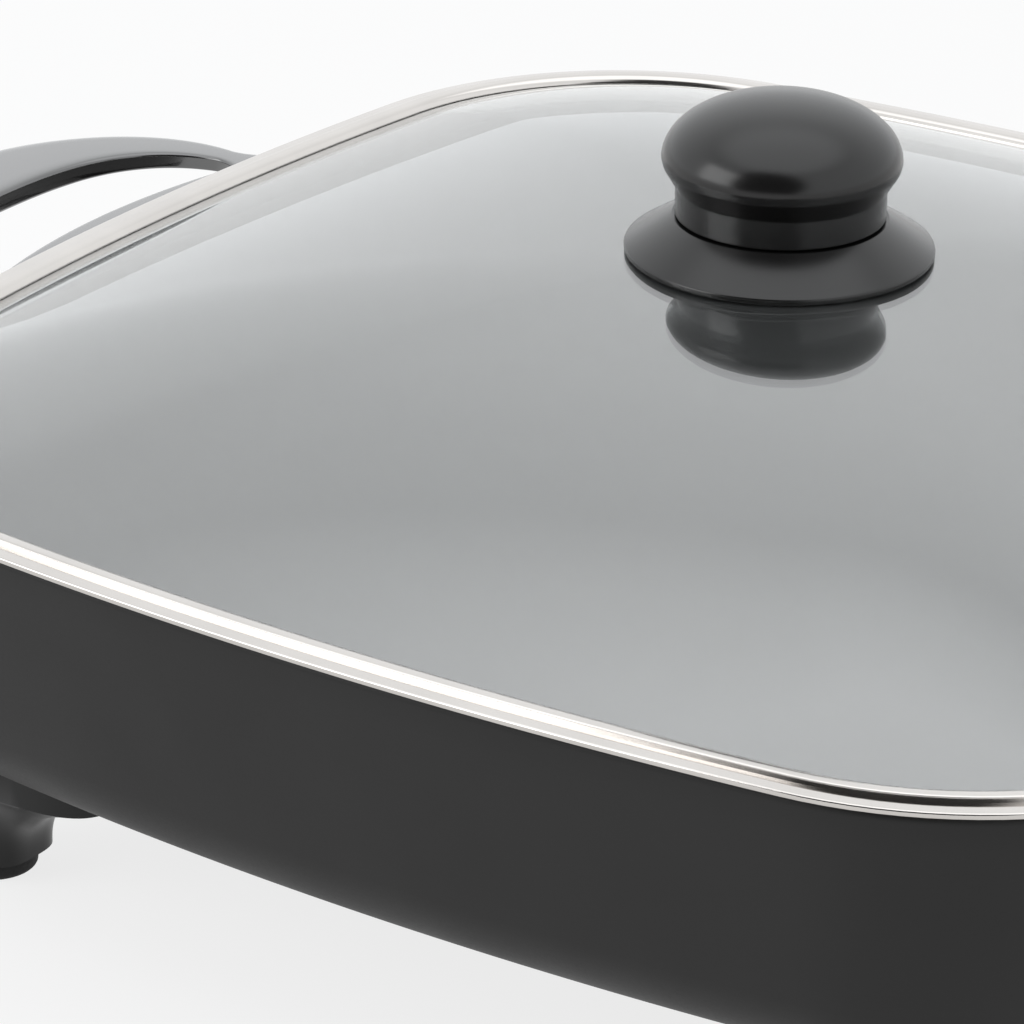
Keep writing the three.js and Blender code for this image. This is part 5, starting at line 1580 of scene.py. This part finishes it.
def monotone(knots: np.ndarray, values: np.ndarray, at: np.ndarray) -> np.ndarray:
    """Cubic curve through the values that doesn't overshoot: slopes are the harmonic mean of the neighbours'.

    Args:
        knots: Places of the values, rising.
        values: Value at each knot.
        at: Places that are asked for.

    Returns:
        The curve's value at each place.
    """
    step = np.diff(knots)
    rate = np.diff(values) / step
    inner = np.where(rate[:-1] * rate[1:] > 0, 2 * rate[:-1] * rate[1:] / (rate[:-1] + rate[1:] + 1e-12), 0)
    slope = np.concatenate([[rate[0]], inner, [rate[-1]]])
    cell = np.clip(np.searchsorted(knots, at, side="right") - 1, 0, len(step) - 1)
    width = step[cell]
    t = (at - knots[cell]) / width
    return (
        (2 * t**3 - 3 * t**2 + 1) * values[cell] + (t**3 - 2 * t**2 + t) * width * slope[cell]
        + (3 * t**2 - 2 * t**3) * values[cell + 1] + (t**3 - t**2) * width * slope[cell + 1]
    )


# Studio


@dataclass
class Studio:
    """Camera, pale floor, world and lamp. Places are in metres, but for the camera's, in millimetres."""

    place: tuple[float, float, float] = (495.207, -817.206, 483.269)
    pitch: float = 0.415297
    yaw: float = 0.596273
    roll: float = 0.011873
    lens: float = 192.871
    sensor: float = 36
    span: float = 30
    floor_tone: float = 0.8
    sky: tuple[tuple[float, float], ...] = (
        (0, 1.27), (0.2, 1.22), (0.6, 1.26), (0.7, 1.18), (0.76, 1.12), (0.82, 1.48), (0.88, 1.85),
    )
    sky_warmth: float = -0.015
    dark_side: tuple[float, float, float] = (0.28, -0.88, 0.36)
    dark_spread: tuple[float, float] = (0.77, 0.86)
    dark_level: float = 0.04
    diffuse_share: float = 0.6
    lamp_place: tuple[float, float, float] = (-0.96, -1.36, 0.78)
    lamp_target: tuple[float, float, float] = (0, 0, 0.08)
    lamp_size: float = 1.1
    lamp_power: float = 9

    def build(self) -> None:
        """Builds everything round the object."""
        self.build_camera()
        self.build_floor()
        self.build_world()
        self.build_lamp()

    def build_camera(self) -> None:
        """Camera at the photograph's viewing angle, placed from the lid's middle."""
        data = bpy.data.cameras.new("camera")
        data.sensor_width, data.lens = self.sensor, self.lens
        camera = put_in_scene("camera", data)
        place = (Vector(self.place) + Vector((MIDDLE_X, 0, 0))) * MM
        turn = Matrix.Rotation(self.yaw, 4, "Z") @ Matrix.Rotation(math.pi / 2 - self.pitch, 4, "X")
        camera.matrix_world = Matrix.Translation(place) @ turn @ Matrix.Rotation(self.roll, 4, "Z")
        bpy.context.scene.camera = camera

    def build_floor(self) -> None:
        """Wide floor, pale to the lamp and near white to the camera, that keeps a soft shadow."""
        mesh = bpy.data.meshes.new("floor")
        corners = [(x * self.span, y * self.span, 0) for x, y in ((-1, -1), (1, -1), (1, 1), (-1, 1))]
        mesh.from_pydata(corners, [], [(0, 1, 2, 3)])
        floor = put_in_scene("floor", mesh)
        material = bpy.data.materials.new("studio floor")
        material.use_nodes = True
        tree = material.node_tree
        tree.nodes.clear()
        plain, thin = (
            add_node(tree, "ShaderNodeBsdfDiffuse", {"Color": (*grey(tone), 1)}).outputs["BSDF"]
            for tone in (self.floor_tone, 1 - self.floor_tone)
        )
        glow = add_node(tree, "ShaderNodeEmission", {"Strength": self.floor_tone}).outputs["Emission"]
        both = add_node(tree, "ShaderNodeAddShader", {0: thin, 1: glow}).outputs["Shader"]
        seen = any_ray(tree, "Is Camera Ray", "Is Glossy Ray", "Is Transmission Ray")
        chosen = add_node(tree, "ShaderNodeMixShader", {"Fac": seen, 1: plain, 2: both}).outputs["Shader"]
        add_node(tree, "ShaderNodeOutputMaterial", {"Surface": chosen})
        mesh.materials.append(material)

    def build_world(self) -> None:
        """White where it is seen, and elsewhere soft light that is darker on the camera's side.

        With z the height of a direction of unit length, d its dot product with the dark side's direction, l the
        dark level and a and b the ends of the dark spread, the light is
        ramp(z) (1 - (1 - l) smoothstep((d - a) / (b - a))). Mirrored rays get all of it and diffuse ones the share
        that lights a level surface about as brightly as its colour is written.
        """
        world = bpy.data.worlds.new("studio")
        bpy.context.scene.world = world
        world.use_nodes = True
        tree = world.node_tree
        tree.nodes.clear()
        way = add_node(tree, "ShaderNodeTexCoord", {}).outputs["Generated"]
        height = add_node(tree, "ShaderNodeSeparateXYZ", {"Vector": way}).outputs["Z"]
        ramp = add_node(tree, "ShaderNodeValToRGB", {"Fac": height})
        while len(ramp.color_ramp.elements) < len(self.sky):
            ramp.color_ramp.elements.new(1)
        for stop, (place, level) in zip(ramp.color_ramp.elements, self.sky):
            stop.position, stop.color = place, (*grey(level, self.sky_warmth), 1)
        around = add_node(tree, "ShaderNodeVectorMath", {0: way, 1: self.dark_side}, operation="DOT_PRODUCT")
        ends = dict(zip(RANGE_ENDS, (*self.dark_spread, 1, self.dark_level)))
        shade = add_node(
            tree, "ShaderNodeMapRange", {"Value": around.outputs["Value"], **ends}, interpolation_type="SMOOTHSTEP"
        )
        dimmed = add_node(
            tree, "ShaderNodeVectorMath", {0: ramp.outputs["Color"], "Scale": shade.outputs["Result"]},
            operation="SCALE",
        ).outputs["Vector"]
        white, mirrored, spread = (
            add_node(tree, "ShaderNodeBackground", {"Color": colour, "Strength": level}).outputs["Background"]
            for colour, level in (((1, 1, 1, 1), 1), (dimmed, 1), (dimmed, self.diffuse_share))
        )
        glossy, straight = any_ray(tree, "Is Glossy Ray"), any_ray(tree, "Is Camera Ray", "Is Transmission Ray")
        soft = add_node(tree, "ShaderNodeMixShader", {"Fac": glossy, 1: spread, 2: mirrored}).outputs["Shader"]
        light = add_node(tree, "ShaderNodeMixShader", {"Fac": straight, 1: soft, 2: white}).outputs["Shader"]
        add_node(tree, "ShaderNodeOutputWorld", {"Surface": light})

    def build_lamp(self) -> None:
        """Square soft lamp on the left that faces the object."""
        data = bpy.data.lights.new("left", "AREA")
        data.size, data.energy = self.lamp_size, self.lamp_power
        lamp = put_in_scene("left", data)
        lamp.location = self.lamp_place
        ahead = Vector(self.lamp_target) - Vector(self.lamp_place)
        lamp.rotation_euler = ahead.to_track_quat("-Z", "Y").to_euler()


def any_ray(tree: bpy.types.NodeTree, *kinds: str) -> bpy.types.NodeSocket:
    """1 for rays of any of the kinds, else 0.

    Args:
        tree: Tree that the nodes go into.
        kinds: Names of Light Path's outputs.

    Returns:
        The socket that gives it.
    """
    rays = add_node(tree, "ShaderNodeLightPath", {}).outputs
    found = rays[kinds[0]]
    for kind in kinds[1:]:
        found = add_node(tree, "ShaderNodeMath", {0: found, 1: rays[kind]}, operation="MAXIMUM").outputs["Value"]
    return found


def main() -> None:
    """Builds every sub-assembly, then the studio."""
    logging.basicConfig(level=logging.INFO, format="%(name)s: %(message)s")
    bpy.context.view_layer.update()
    PAN.build()
    handle = Handle()
    handle.build("handle_right", 1)
    handle.build("handle_left", -1)
    Leg().build()
    build_screws()
    LID.build()
    Knob().build()
    Control().build()
    dress_cad_nodes()
    Studio().build()
    bpy.context.scene.view_settings.view_transform = "Standard"


if __name__ == "__main__":
    main()
